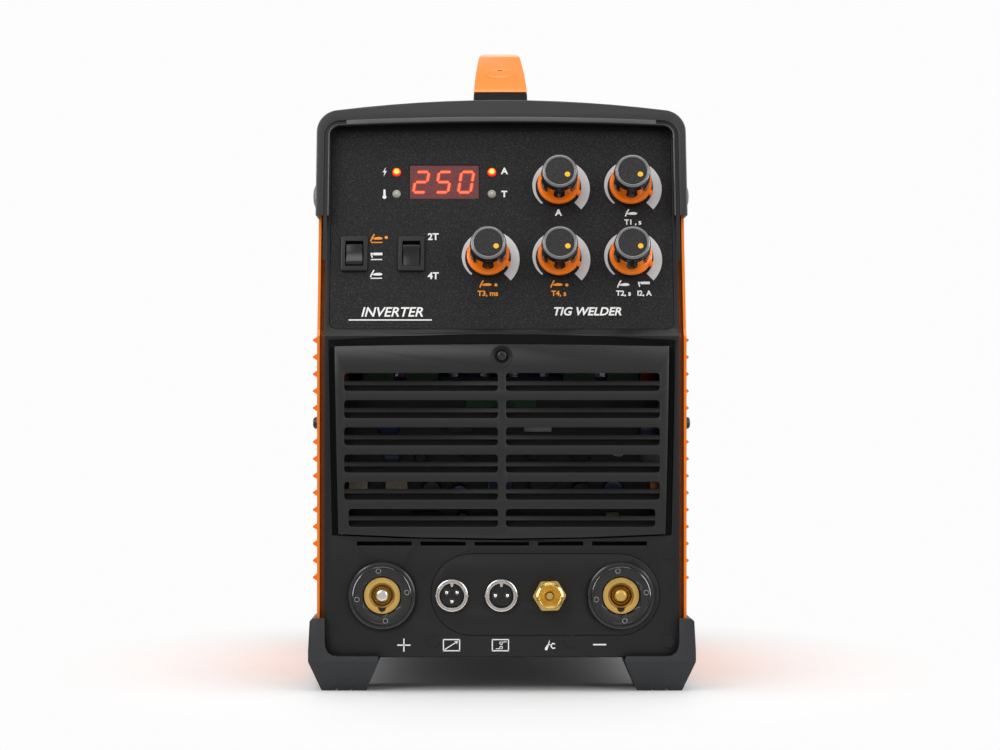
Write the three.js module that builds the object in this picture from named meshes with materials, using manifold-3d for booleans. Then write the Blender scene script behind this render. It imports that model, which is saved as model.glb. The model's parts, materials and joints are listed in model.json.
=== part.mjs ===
// A portable TIG welding inverter: sheet-metal body, moulded front with an inclined control panel,
// corner guards, handle and feet, and the power electronics that it holds.
// Millimetres. X to the right seen from the front, Y to the back, Z up, origin on the floor at the middle.
import * as THREE from "three";
import { mergeVertices } from "three/addons/utils/BufferGeometryUtils.js";
import Module from "manifold-3d";

const wasm = await Module();
wasm.setup();

// Driving dimensions.
const GAP = 0.3; // clearance between pieces that touch
const HALF_PI = Math.PI / 2;
const FRONT_Y = -221; // plane of the lower front face
const BACK_Y = 215; // outer plane of the rear panel
const COVER = { half: 103, bottom: 18, crest: 329.5, arch: 570, corner: 10, sheet: 1.5, flange: 3.9 };
const FLANGE_BACK = 12; // the cover's inner flange lies this far behind its front edge
const FASCIA = { half: 98.8, bottom: 19.1, crest: 325.3, wall: 3, depth: 16 };
const PANEL = { tilt: (16 * Math.PI) / 180, half: 96, height: 118, footZ: 201.4, setBack: 4, plate: 2.5 };
const HOOD = { half: 104.3, crest: 332, arch: 735, corner: 12.6, legZ: 265.2, overhang: 10.4 };
const HOOD_CAP = { z: 277.8, inset: 14 }; // the round caps on the guards' sides
const HOOD_LIP = { half: 97, crest: 319.3, arch: 1930, corner: 5.5 };
const HOOD_LENGTH = 36; // along Y, from the front edge of the guard to its back edge
const GRILLE = { topHalf: 93, bottomHalf: 90.9, topZ: 191.5, bottomZ: 87.2, bulge: 3.5 };
const GRILLE_BODY = { wall: 2.6, depth: 11 };
const SLOTS = { rows: 6, pitch: 15.1, height: 10, topZ: 176.7, inner: 2.2, outer: 87.6 };
const RECESS = { side: 3.6, top: 3.5, arch: 6.8, low: 0.8, depth: 7 }; // clear frame round the grille
const LOUVRE = { pitch: 9.7, count: 15, lowZ: 58, out: 4.6, height: 6.4, drop: 1, tipLow: 2.2, tipHigh: 3 };
const LOUVRE_BANKS = [
  [-172, -52, LOUVRE.count],
  [78, 168, 7],
];
const FOOT = { out: 107.6, inner: 68.3, front: 6, length: 56, topZ: 40.5, kneeZ: 16.5 };
const FOOT_ARM = { x: 98.4, ledgeZ: 19.4 };
const FOOT_SOLE = { inner: 75.4, outer: 100.4, setBack: 7 };
const SCREW = { z: 186.3, floor: 1.5 }; // the grille's screw and the floor of its pocket
const HANDLE = { end: 151, slopeTop: 94, bottomZ: 329.8, seamZ: 340.5, topZ: 370, gripUnderZ: 355 };
const FAN = { z: 122, half: 59.5, bore: 57, depth: 25, hub: 20, blades: 7 };
// Places on the rear panel: switch, cable gland, gas inlet and earth stud.
const POWER = { x: -55, z: 265 };
const GLAND = { x: 55, z: 265 };
const INLET = { x: 60, z: 215 };
const STUD = { x: -72, z: 40 };
const SOCKET = { z: 52.9, flange: 18.9, ring: 16, recess: 12, contact: 9.9, bore: 6.3, pin: 3.6 };
const SOCKET_X = { positive: -66.6, negative: 66.2 };
const SMALL_SOCKET = { z: 53, shell: 9.3, insert: 6.4 };
const SMALL_SOCKET_X = { remote: -27.8, torch: -0.3 };
const GAS_X = 26.4;
const PLATE = { left: -39.4, right: 87.7, bottom: 30.9, top: 76 };
const VENTS = [
  [-80.7, -50.2],
  [-45.3, -20.1],
  [-15.2, 15.2],
  [20.1, 45.3],
  [50.2, 80.7],
];
// Places on the control panel: x, then the distance up the panel from its lower edge.
const KNOBS = {
  main_current: [32.3, 82.8],
  slope_down: [72.9, 82.8],
  base_current: [-7.6, 40.5],
  pulse_time: [32.1, 40.5],
  gas_time: [72.4, 40.5],
};
const KNOB = { cap: 10, capFoot: 20.8, height: 26, stem: 7, foot: 9, footTop: 4.3, shaft: 3 };
const KNOB_RIB = { count: 6, half: 2.9, inner: 9.9, outer: 10.3, tip: 10.2 };
const SKIRT = { radius: 12, foot: 4.6, rim: 6.6, neck: 10.2, body: 9.6, top: 20.5 };
const KNOB_REST = (115 * Math.PI) / 180; // pointer, clockwise from straight up
const SWITCHES = { mode: [-82.6, 43.3, 1], cycle: [-50.6, 43.3, -1] };
const ROCKER_TILT = (12 * Math.PI) / 180;
const DISPLAY = { x: -32.2, v: 87.3, half: 19.8, halfHeight: 10.3 };
const LAMPS = {
  mains_lamp: [-59.2, 93.3],
  current_lamp: [-5.3, 93.3],
  heat_lamp: [-59.2, 80.1],
  time_lamp: [-5.3, 80.1],
};

// Looks of the parts.
function look(color, roughness, metalness = 0) {
  return new THREE.MeshStandardMaterial({ color, roughness, metalness });
}
const LOOKS = {
  orange: look(0xff8a00, 0.35),
  black: look(0x2b2b2d, 0.6),
  darkSteel: look(0x26272a, 0.5, 0.6),
  rubber: look(0x1a1a1c, 0.8),
  brass: look(0xc79a45, 0.35, 1),
  nickel: look(0xc9c7c2, 0.3, 1),
  steel: look(0x9a9da1, 0.4, 1),
  aluminium: look(0xb9bcc0, 0.45, 1),
  board: look(0x1d5a33, 0.6),
  red: look(0x9c1f1a, 0.3),
  lampRed: look(0xff3010, 0.3),
  lampGrey: look(0x9b9a94, 0.4),
  copper: look(0xa8582c, 0.45, 0.8),
  blue: look(0x23305c, 0.5),
};

// Geometry to solid, and solids to a named mesh.
function solidOf(geometry) {
  const bare = geometry.index ? geometry.toNonIndexed() : geometry.clone();
  bare.deleteAttribute("normal");
  bare.deleteAttribute("uv");
  const merged = mergeVertices(bare, 1e-4);
  const vertProperties = merged.attributes.position.array;
  const triVerts = new Uint32Array(merged.index.array);
  const solid = new wasm.Manifold(new wasm.Mesh({ numProp: 3, vertProperties, triVerts }));
  if (solid.volume() > 0) return solid;
  triVerts.reverse(); // the outline ran the other way round
  return new wasm.Manifold(new wasm.Mesh({ numProp: 3, vertProperties, triVerts }));
}

function geometryOf(solid) {
  const data = solid.getMesh();
  const places = new Float32Array(data.numVert * 3);
  for (let i = 0; i < data.numVert; i++) {
    places.set(data.vertProperties.subarray(i * data.numProp, i * data.numProp + 3), i * 3);
  }
  const geometry = new THREE.BufferGeometry();
  geometry.setAttribute("position", new THREE.BufferAttribute(places, 3));
  geometry.setIndex(new THREE.BufferAttribute(data.triVerts, 1));
  geometry.computeVertexNormals();
  return geometry;
}

const asSolid = (shape) => (shape.isBufferGeometry ? solidOf(shape) : shape);
const join = (...shapes) => shapes.map(asSolid).reduce((sum, next) => sum.add(next));
const cut = (base, ...tools) => tools.map(asSolid).reduce((left, tool) => left.subtract(tool), asSolid(base));
const common = (...shapes) => shapes.map(asSolid).reduce((left, next) => left.intersect(next));

function addPiece(parent, name, shape, material) {
  const mesh = new THREE.Mesh(geometryOf(asSolid(shape)), material.clone());
  mesh.name = name;
  parent.add(mesh);
  return mesh;
}

// Plain shapes in place.
function box(x0, x1, y0, y1, z0, z1) {
  const geometry = new THREE.BoxGeometry(x1 - x0, y1 - y0, z1 - z0);
  return geometry.translate((x0 + x1) / 2, (y0 + y1) / 2, (z0 + z1) / 2);
}

function outline(points) {
  return new THREE.Shape(points.map(([a, b]) => new THREE.Vector2(a, b)));
}

// A shape drawn in X and Z, extruded from y0 to y1.
function alongY(shape, y0, y1, curveSegments = 6) {
  const geometry = new THREE.ExtrudeGeometry(shape, { depth: y1 - y0, bevelEnabled: false, curveSegments });
  return geometry.rotateX(HALF_PI).translate(0, y1, 0);
}

// A shape drawn in Y and Z, extruded from x0 to x1.
function alongX(shape, x0, x1, curveSegments = 6) {
  const geometry = new THREE.ExtrudeGeometry(shape, { depth: x1 - x0, bevelEnabled: false, curveSegments });
  const turn = new THREE.Matrix4().makeBasis(
    new THREE.Vector3(0, 1, 0),
    new THREE.Vector3(0, 0, 1),
    new THREE.Vector3(1, 0, 0),
  );
  return geometry.applyMatrix4(turn).translate(x0, 0, 0);
}

// A cylinder along Y round (x, z).
function rodY(x, z, y0, y1, radius, sides = 24) {
  return new THREE.CylinderGeometry(radius, radius, y1 - y0, sides).translate(x, (y0 + y1) / 2, z);
}

// A turned piece about Y: points are radius and y, from the front of the axis to its back.
function turnedY(points, x, z, sides = 24) {
  const profile = points.map(([radius, y]) => new THREE.Vector2(radius, y));
  return new THREE.LatheGeometry(profile, sides).translate(x, 0, z);
}

function ringY(x, z, y0, y1, inner, outer, sides = 24) {
  return cut(rodY(x, z, y0, y1, outer, sides), rodY(x, z, y0 - 1, y1 + 1, inner, sides));
}

function roundedBox(halfWidth, z0, z1, radius, x = 0) {
  const shape = new THREE.Shape();
  shape.absarc(x + halfWidth - radius, z0 + radius, radius, -HALF_PI, 0);
  shape.absarc(x + halfWidth - radius, z1 - radius, radius, 0, HALF_PI);
  shape.absarc(x - halfWidth + radius, z1 - radius, radius, HALF_PI, Math.PI);
  shape.absarc(x - halfWidth + radius, z0 + radius, radius, Math.PI, Math.PI + HALF_PI);
  return shape;
}

// The body's front view: straight sides, round shoulders and a slightly arched top.
function archedOutline(half, bottom, crest, arch, corner) {
  const middle = crest - arch;
  const lean = Math.asin((half - corner) / (arch - corner));
  const shoulder = middle + (arch - corner) * Math.cos(lean);
  const shape = new THREE.Shape();
  shape.moveTo(half, bottom);
  shape.lineTo(half, shoulder);
  shape.absarc(half - corner, shoulder, corner, 0, HALF_PI - lean);
  shape.absarc(0, middle, arch, HALF_PI - lean, HALF_PI + lean);
  shape.absarc(corner - half, shoulder, corner, HALF_PI + lean, Math.PI);
  shape.lineTo(-half, bottom);
  return shape;
}

// Y of the inclined front at a height, moved back by an offset.
const PANEL_SLOPE = Math.tan(PANEL.tilt);
const inclineY = (z, offset = 0) => FRONT_Y + PANEL.setBack + offset + (z - PANEL.footZ) * PANEL_SLOPE;

// Side view of the zone from one front line back to another, both following the inclined front.
function frontZone(frontOffset, backOffset, lowZ, highZ) {
  const kneeZ = PANEL.footZ;
  return outline([
    [FRONT_Y + frontOffset, lowZ],
    [FRONT_Y + frontOffset, kneeZ - PANEL.setBack],
    [inclineY(kneeZ, frontOffset), kneeZ],
    [inclineY(highZ, frontOffset), highZ],
    [inclineY(highZ, backOffset), highZ],
    [inclineY(kneeZ, backOffset), kneeZ],
    [FRONT_Y + backOffset, kneeZ - PANEL.setBack],
    [FRONT_Y + backOffset, lowZ],
  ]);
}

const group = new THREE.Group();
const panel = new THREE.Group(); // X right, Y into the machine, Z up the panel
panel.position.set(0, FRONT_Y + PANEL.setBack, PANEL.footZ);
panel.rotation.x = -PANEL.tilt;
group.add(panel);

// The panel's own frame turned into the body's frame, for cuts that follow the panel.
function onPanel(geometry) {
  return geometry.rotateX(-PANEL.tilt).translate(0, FRONT_Y + PANEL.setBack, PANEL.footZ);
}

// Sheet-metal body.
function makeTray() {
  const half = COVER.half - COVER.sheet - GAP;
  const front = FRONT_Y + FASCIA.depth + GAP + 1;
  const back = BACK_Y - 15;
  const whole = box(-half, half, front, back, 17.3, 36);
  return cut(whole, box(-half + 1.5, half - 1.5, front + 1.5, back - 1.5, 18.8, 50));
}

// A louvre's section: a peaked ridge, and with grow 1 the slot that opens it from below.
function louvreProfile(side, z, grow) {
  const { out, height, drop, tipLow, tipHigh } = LOUVRE;
  const wall = side * (COVER.half - 0.6);
  const inside = wall - side * (grow ? 3 : 0.5);
  const tip = wall + side * (out + 0.6 - grow * 1.1);
  const top = z + height - grow * 1.6;
  const bottom = z - drop - grow;
  return outline([
    [wall, top],
    [inside, top],
    [inside, bottom],
    [grow ? tip : wall, bottom],
    [tip, z + tipLow],
    [tip, z + tipHigh - grow * 0.6],
  ]);
}

function makeCover() {
  const outer = archedOutline(COVER.half, COVER.bottom, COVER.crest, COVER.arch, COVER.corner);
  const inset = (by) =>
    archedOutline(COVER.half - by, 0, COVER.crest - by, COVER.arch - by, Math.max(COVER.corner - by, 1));
  const back = BACK_Y - 1;
  const shell = cut(alongY(outer, FRONT_Y - 5, back), alongY(inset(COVER.sheet), FRONT_Y - 10, back + 5));
  const rim = alongY(outer, FRONT_Y - 5, FRONT_Y + 80);
  const lip = cut(rim, alongY(inset(COVER.flange), FRONT_Y - 10, FRONT_Y + 90));
  const sides = COVER.half + 1;
  const skin = common(shell, alongX(frontZone(3, 500, 0, 340), -sides, sides));
  const flangeZone = frontZone(FLANGE_BACK, FLANGE_BACK + COVER.sheet, 0, 340);
  const flange = common(lip, alongX(flangeZone, -sides, sides));
  let cover = join(skin, flange);
  for (const side of [-1, 1]) {
    const ridges = [];
    const slots = [];
    for (const [y0, y1, count] of LOUVRE_BANKS) {
      for (let row = 0; row < count; row += 1) {
        const z = LOUVRE.lowZ + row * LOUVRE.pitch;
        ridges.push(alongY(louvreProfile(side, z, 0), y0, y1));
        slots.push(alongY(louvreProfile(side, z, 1), y0 + 1.5, y1 - 1.5));
      }
    }
    cover = cut(join(cover, ...ridges), ...slots);
  }
  return cover;
}

function grilleOutline(grow) {
  const { topHalf, bottomHalf, topZ, bottomZ } = GRILLE;
  const bottom = bottomZ - grow;
  const top = topZ + grow;
  const shape = new THREE.Shape();
  shape.moveTo(-bottomHalf - grow, bottom);
  shape.quadraticCurveTo(0, bottom - 5, bottomHalf + grow, bottom);
  shape.lineTo(topHalf + grow, top);
  shape.quadraticCurveTo(0, top + 2.4, -topHalf - grow, top);
  return shape;
}

// The opening that the grille stands in, grown all round by `grow`.
function recessOutline(grow) {
  const { bottomHalf, topHalf, topZ, bottomZ } = GRILLE;
  const bottom = bottomZ - RECESS.low - grow;
  const top = topZ + RECESS.top + grow;
  const side = RECESS.side + grow;
  const shape = new THREE.Shape();
  shape.moveTo(-bottomHalf - side, bottom);
  shape.quadraticCurveTo(0, bottom - 5, bottomHalf + side, bottom);
  shape.lineTo(topHalf + side, top);
  shape.quadraticCurveTo(0, top + RECESS.arch, -topHalf - side, top);
  return shape;
}

function makeFascia() {
  const { half, bottom, crest, wall, depth } = FASCIA;
  const sides = half + 1;
  const outer = archedOutline(half, bottom, crest, COVER.arch, 7);
  const inner = archedOutline(half - wall, bottom + wall, crest - wall, COVER.arch, 4);
  const block = common(alongY(outer, FRONT_Y - 5, 0), alongX(frontZone(0, depth, 0, 340), -sides, sides));
  const hollow = common(alongY(inner, FRONT_Y - 5, 0), alongX(frontZone(wall, 60, 0, 340), -sides, sides));
  const windowShape = roundedBox(PANEL.half + GAP, -GAP, PANEL.height + GAP, 4.5);
  const shelfBack = FRONT_Y + RECESS.depth + 1.5;
  const shelf = cut(
    alongY(recessOutline(1.4), FRONT_Y + 1, shelfBack, 5),
    alongY(recessOutline(0), FRONT_Y - 5, FRONT_Y + RECESS.depth, 5),
    alongY(grilleOutline(0.5), FRONT_Y - 5, shelfBack + 1, 5),
  );
  const openings = [
    onPanel(alongY(windowShape, -12, 9, 3)),
    alongY(recessOutline(0), FRONT_Y - 5, FRONT_Y + wall + 1, 5),
  ];
  for (const [x0, x1] of VENTS) {
    openings.push(box(x0, x1, FRONT_Y - 1, FRONT_Y + 9, 80.7, 83));
  }
  for (const x of Object.values(SOCKET_X)) {
    openings.push(rodY(x, SOCKET.z, FRONT_Y - 1, FRONT_Y + 9, 15.2 + GAP, 20));
  }
  for (const x of Object.values(SMALL_SOCKET_X)) {
    openings.push(rodY(x, SMALL_SOCKET.z, FRONT_Y - 1, FRONT_Y + 9, 7.8 + GAP, 16));
  }
  openings.push(rodY(GAS_X, SMALL_SOCKET.z, FRONT_Y - 1, FRONT_Y + 9, 5 + GAP, 12));
  openings.push(alongY(plateOutline(GAP), FRONT_Y - 1, FRONT_Y + 1.5));
  return join(cut(block, hollow, ...openings), shelf);
}

function plateOutline(grow) {
  const halfHeight = (PLATE.top - PLATE.bottom) / 2;
  const middle = (PLATE.left + PLATE.right) / 2;
  const halfWidth = (PLATE.right - PLATE.left) / 2 + grow;
  return roundedBox(halfWidth, PLATE.bottom - grow, PLATE.top + grow, halfHeight + grow - 0.01, middle);
}

function makeConnectorPlate() {
  const y0 = FRONT_Y - 0.4;
  const y1 = FRONT_Y + 1.2;
  const holes = [rodY(SOCKET_X.negative, SOCKET.z, y0 - 1, y1 + 1, 15.2 + GAP, 20)];
  for (const x of Object.values(SMALL_SOCKET_X)) {
    holes.push(rodY(x, SMALL_SOCKET.z, y0 - 1, y1 + 1, 7.8 + GAP, 16));
  }
  holes.push(rodY(GAS_X, SMALL_SOCKET.z, y0 - 1, y1 + 1, 5 + GAP, 12));
  return cut(alongY(plateOutline(0), y0, y1, 6), ...holes);
}

// The arched guards over the body's top edges: a cap over the cover with a lip in front of the face.
function hoodShell(y0, y1) {
  const { half, crest } = HOOD;
  const clear = COVER.half + GAP;
  const outer = archedOutline(half, HOOD.legZ, crest, HOOD.arch, HOOD.corner);
  const seat = archedOutline(clear, 0, COVER.crest + GAP, COVER.arch, COVER.corner);
  const mouth = archedOutline(HOOD_LIP.half, 0, HOOD_LIP.crest, HOOD_LIP.arch, HOOD_LIP.corner);
  return {
    cap: cut(alongY(outer, y0, y1, 6), alongY(seat, y0 - 1, y1 + 1, 6)),
    lip: cut(alongY(outer, y0, y1, 6), alongY(mouth, y0 - 1, y1 + 1, 6)),
  };
}

function domeCap(side, y, z) {
  const arc = Array.from({ length: 4 }, (_, i) => (i * HALF_PI) / 3);
  const profile = [[0, -0.8], [7.4, -0.8], ...arc.map((a) => [7.4 * Math.cos(a), 2.6 * Math.sin(a)])];
  const points = profile.map(([radius, height]) => new THREE.Vector2(Math.max(radius, 0), height));
  points[points.length - 1].x = 0;
  const dome = new THREE.LatheGeometry(points, 12);
  return dome.rotateZ(-side * HALF_PI).translate(side * HOOD.half, y, z);
}

function makeFrontHood() {
  const { cap, lip } = hoodShell(FRONT_Y - 10, FRONT_Y + 110);
  const sides = 110;
  const capZone = alongX(frontZone(-HOOD.overhang, HOOD_LENGTH - HOOD.overhang, 0, 340), -sides, sides);
  const lipZone = alongX(frontZone(-HOOD.overhang, -0.8, 0, 340), -sides, sides);
  const caps = [-1, 1].map((side) => domeCap(side, inclineY(HOOD_CAP.z, HOOD_CAP.inset), HOOD_CAP.z));
  return join(common(cap, capZone), common(lip, lipZone), ...caps);
}

function makeRearHood() {
  const { cap, lip } = hoodShell(BACK_Y - 44, BACK_Y + 6);
  const lipZone = box(-110, 110, BACK_Y + 0.8, BACK_Y + 10, 0, 340);
  const caps = [-1, 1].map((side) => domeCap(side, BACK_Y - HOOD_CAP.inset, HOOD_CAP.z));
  return join(cap, common(lip, lipZone), ...caps);
}

function makeGrille() {
  const { bulge, topZ, bottomZ } = GRILLE;
  const { wall, depth } = GRILLE_BODY;
  const middle = (topZ + bottomZ) / 2;
  const bulgedZone = (offset, back) => {
    const shape = new THREE.Shape();
    shape.moveTo(FRONT_Y - 1 + offset, bottomZ - 10);
    shape.quadraticCurveTo(FRONT_Y - 1 - 2 * bulge + offset, middle, FRONT_Y - 1 + offset, topZ + 10);
    shape.lineTo(back, topZ + 10);
    shape.lineTo(back, bottomZ - 10);
    return alongX(shape, -100, 100, 4);
  };
  const outside = alongY(grilleOutline(0), FRONT_Y - 12, FRONT_Y + depth, 4);
  const outer = common(outside, bulgedZone(0, FRONT_Y + depth));
  const within = alongY(grilleOutline(-wall), FRONT_Y - 12, FRONT_Y + 30, 4);
  const hollow = common(within, bulgedZone(wall, FRONT_Y + 30));
  const vaneRoom = alongY(grilleOutline(-1), FRONT_Y - 12, FRONT_Y + 30, 1);
  const slots = [];
  const vanes = [];
  for (let row = 0; row < SLOTS.rows; row += 1) {
    const high = SLOTS.topZ - row * SLOTS.pitch;
    const low = high - SLOTS.height;
    const half = (SLOTS.outer - SLOTS.inner) / 2 - (row === SLOTS.rows - 1 ? 1.2 : 0);
    for (const side of [-1, 1]) {
      const x = side * (SLOTS.inner + half);
      slots.push(alongY(roundedBox(half, low, high, 1.6, x), FRONT_Y - 12, FRONT_Y + 4, 1));
    }
    const profile = [
      [FRONT_Y - 2, low - 1.6],
      [FRONT_Y - 2, low - 0.2],
      [FRONT_Y + 7.6, low + 3.3],
      [FRONT_Y + 7.6, low + 5.8],
      [FRONT_Y + 9.2, low + 5.8],
      [FRONT_Y + 9.2, low + 2.2],
    ];
    vanes.push(common(alongX(outline(profile), -100, 100), vaneRoom));
  }
  const rib = box(-SLOTS.inner + 0.4, SLOTS.inner - 0.4, FRONT_Y - 2, FRONT_Y + depth, bottomZ - 1, topZ + 1);
  const pocket = rodY(0, SCREW.z, FRONT_Y - 12, FRONT_Y + SCREW.floor, 5.4, 16);
  const boss = rodY(0, SCREW.z, FRONT_Y - 3, FRONT_Y + 5, 6.4, 16);
  const hole = rodY(0, SCREW.z, FRONT_Y - 12, FRONT_Y + 30, 2.2, 8);
  return cut(join(cut(outer, hollow, ...slots), ...vanes, rib, boss), pocket, hole);
}

function makeGrilleScrew() {
  const y = FRONT_Y + SCREW.floor - GAP;
  const z = SCREW.z;
  const profile = [
    [0, y - 2.2],
    [1.8, y - 2.1],
    [2.8, y - 1.4],
    [3.2, y],
    [1.8, y],
    [1.8, y + 9],
    [0, y + 9],
  ];
  const head = turnedY(profile, 0, z, 16);
  const across = box(-1.7, 1.7, y - 3, y - 1, z - 0.4, z + 0.4);
  const upright = box(-0.4, 0.4, y - 3, y - 1, z - 1.7, z + 1.7);
  return cut(head, across, upright);
}

function makeFoot(side, end) {
  const { out, inner, kneeZ, topZ, length } = FOOT;
  const { x: armX, ledgeZ } = FOOT_ARM;
  const half = COVER.half;
  const shape = new THREE.Shape();
  shape.moveTo(side * out, kneeZ);
  shape.lineTo(side * out, kneeZ + 6);
  shape.lineTo(side * (out - 0.9), topZ - 1.5);
  shape.lineTo(side * (out - 2.6), topZ);
  shape.lineTo(side * armX, topZ);
  shape.lineTo(side * armX, ledgeZ + 8.4);
  shape.quadraticCurveTo(side * armX, ledgeZ, side * (armX - 7), ledgeZ);
  shape.lineTo(side * (inner + 0.6), ledgeZ);
  shape.lineTo(side * inner, kneeZ);
  shape.lineTo(side * FOOT_SOLE.inner, 0);
  shape.lineTo(side * FOOT_SOLE.outer, 0);
  const face = end < 0 ? FRONT_Y - FOOT.front : BACK_Y + FOOT.front;
  const edge = (inward) => face - end * inward;
  const profile = outline([
    [edge(0), topZ + 1],
    [edge(0), kneeZ],
    [edge(FOOT_SOLE.setBack), 0],
    [edge(length - FOOT_SOLE.setBack), 0],
    [edge(length), kneeZ],
    [edge(length), topZ + 1],
  ]);
  const block = common(alongY(shape, -235, 235, 4), alongX(profile, -110, 110));
  const body = box(-half - GAP, half + GAP, FRONT_Y - GAP, BACK_Y + GAP, 17, 60);
  const grooves = [84, 92].map((x) => box(side * x - 0.8, side * x + 0.8, -235, 235, -1, 1.2));
  return cut(block, body, ...grooves);
}

function handleSection() {
  const shape = outline([[16, 329], [15.3, 342], [14.2, 354], [12.4, 365.5]]);
  shape.quadraticCurveTo(11.8, HANDLE.topZ, 8, HANDLE.topZ);
  shape.lineTo(-8, HANDLE.topZ);
  shape.quadraticCurveTo(-11.8, HANDLE.topZ, -12.4, 365.5);
  shape.lineTo(-14.2, 354);
  shape.lineTo(-15.3, 342);
  shape.lineTo(-16, 329);
  return alongY(shape, -200, 200, 5);
}

function makeHandle(upper) {
  const { end, slopeTop, bottomZ, seamZ, topZ, gripUnderZ } = HANDLE;
  const seam = upper ? GAP / 2 : -GAP / 2;
  const half = upper
    ? [[end + 1, seamZ], [end - 2, seamZ + 2.5], [slopeTop + 6, topZ - 3], [slopeTop - 4, topZ]]
    : [[end + 0.4, seamZ], [end - 1, bottomZ], [108, bottomZ], [80, gripUnderZ - 4], [72, gripUnderZ]];
  const seamLine = [[end - 14, seamZ + 1], [slopeTop - 2, 361.5]];
  const ring = upper
    ? [...seamLine.map(([y, z]) => [y, z + seam]).reverse(), ...half.map(([y, z]) => [y, z + seam])]
    : [...half.slice().reverse(), ...seamLine.map(([y, z]) => [y, z + seam])];
  const mirrored = ring.map(([y, z]) => [-y, z]).reverse();
  const profile = alongX(outline([...ring, ...mirrored]), -20, 20);
  return common(profile, handleSection());
}

// Front connectors.
function makeSocketBody(x) {
  const { z, flange, ring, recess } = SOCKET;
  const f = FRONT_Y - 0.7;
  const profile = [
    [recess, f + 12],
    [recess, f - 3],
    [ring, f - 5.2],
    [flange, f - 3],
    [flange, f],
    [15, f],
    [15, f + 22],
    [6, f + 22],
    [6, f + 12],
    [recess, f + 12],
  ];
  return turnedY(profile, x, z, 20);
}

function makeSocketContact(x) {
  const { z, contact, bore, pin } = SOCKET;
  const f = FRONT_Y - 2.2;
  const sleeve = rodY(x, z, f, f + 13, contact, 20);
  const tail = rodY(x, z, f + 13, f + 34, 5.6, 12);
  const keyway = box(x - 2.6, x + 2.6, f - 1, f + 8, z - 9, z);
  const tip = [
    [0, f + 4],
    [pin - 1, f + 4.3],
    [pin, f + 5.3],
    [pin, f + 12.5],
    [0, f + 12.5],
  ];
  const core = turnedY(tip, x, z, 12);
  return join(cut(join(sleeve, tail), rodY(x, z, f - 1, f + 11, bore, 16), keyway), core);
}

function makeSmallShell(x) {
  const { z, shell } = SMALL_SOCKET;
  const f = FRONT_Y - 0.7;
  const profile = [
    [6.9, f + 10],
    [6.9, f - 4.4],
    [8.2, f - 4.2],
    [8.4, f - 1.2],
    [shell, f - 1.2],
    [shell, f],
    [7.7, f],
    [7.7, f + 10],
    [6.9, f + 10],
  ];
  return turnedY(profile, x, z, 16);
}

function makeSmallInsert(x, pins) {
  const { z, insert } = SMALL_SOCKET;
  const f = FRONT_Y - 2.4;
  const disc = turnedY([[0, f], [insert, f], [insert, f + 13], [0, f + 13]], x, z, 16);
  const rods = pins.map(([dx, dz]) => rodY(x + dx, z + dz, f - 1.6, f + 1, 0.95, 6));
  return join(disc, ...rods);
}

function makeGasOutlet() {
  const z = SMALL_SOCKET.z;
  const f = FRONT_Y - 0.7;
  const hex = new THREE.CylinderGeometry(9.3, 9.3, 9, 6, 1, false, HALF_PI).translate(GAS_X, f - 4.5, z);
  const body = turnedY(
    [[0, f - 13.3], [4.6, f - 13.3], [6.8, f - 10.5], [6.8, f - 2], [4.9, f], [4.9, f + 24], [0, f + 24]],
    GAS_X,
    z,
    16,
  );
  return cut(join(hex, body), rodY(GAS_X, z, f - 20, f + 30, 2.2, 12));
}

// Control panel and what is on it, in the panel's frame: the face is y = 0.
function makePanelPlate() {
  const holes = Object.values(KNOBS).map(([x, v]) => rodY(x, v, -5, 9, 3.8, 10));
  for (const [x, v] of Object.values(SWITCHES)) {
    holes.push(box(x - 6.3, x + 6.3, -5, 9, v - 9.3, v + 9.3));
  }
  const { x, v, half, halfHeight } = DISPLAY;
  holes.push(box(x - half, x + half, -5, 9, v - halfHeight, v + halfHeight));
  for (const [lampX, lampV] of Object.values(LAMPS)) {
    holes.push(rodY(lampX, lampV, -5, 9, 2.8, 8));
  }
  return cut(alongY(roundedBox(PANEL.half, 0, PANEL.height, 4.2), 0, PANEL.plate), ...holes);
}

function makeKnob() {
  const { cap, capFoot, stem, foot, footTop, height, shaft } = KNOB;
  const profile = [
    [0, -height],
    [cap - 0.6, -height],
    [cap, -height + 1],
    [cap, -capFoot],
    [stem, -capFoot],
    [stem, -footTop],
    [foot, -footTop],
    [foot, -1],
    [shaft, -1],
    [shaft, 9],
    [0, 9],
  ];
  const { count, half, inner, outer, tip } = KNOB_RIB;
  const bars = [];
  for (let i = 0; i < count; i += 1) {
    bars.push(box(-half, half, -capFoot - 2, -tip, 0, outer + 1).rotateY((i * 2 * Math.PI) / count));
  }
  const ribs = common(ringY(0, 0, -capFoot - 2, -tip, inner, outer, 24), join(...bars));
  return join(turnedY(profile, 0, 0, 20), ribs);
}

function makeSkirt(angle) {
  const { radius, foot, rim, neck, body, top } = SKIRT;
  const inner = KNOB.stem + GAP;
  const profile = [
    [inner, -foot],
    [inner, -top],
    [body, -top],
    [body, -rim - 2],
    [neck, -rim - 1.6],
    [radius, -rim],
    [radius, -foot],
    [inner, -foot],
  ];
  const tab = box(-1.6, 1.6, -rim, -foot, radius - 2, radius + 2.2).rotateY(angle);
  return join(turnedY(profile, 0, 0, 20), tab);
}

function makeSwitchHousing() {
  const rim = alongY(roundedBox(7.4, -10.3, 10.3, 1.4), -1.9, -0.3, 3);
  const body = box(-6, 6, -0.5, 12, -9, 9);
  return cut(join(rim, body), box(-5, 5, -5, 10, -7.5, 7.5));
}

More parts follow.
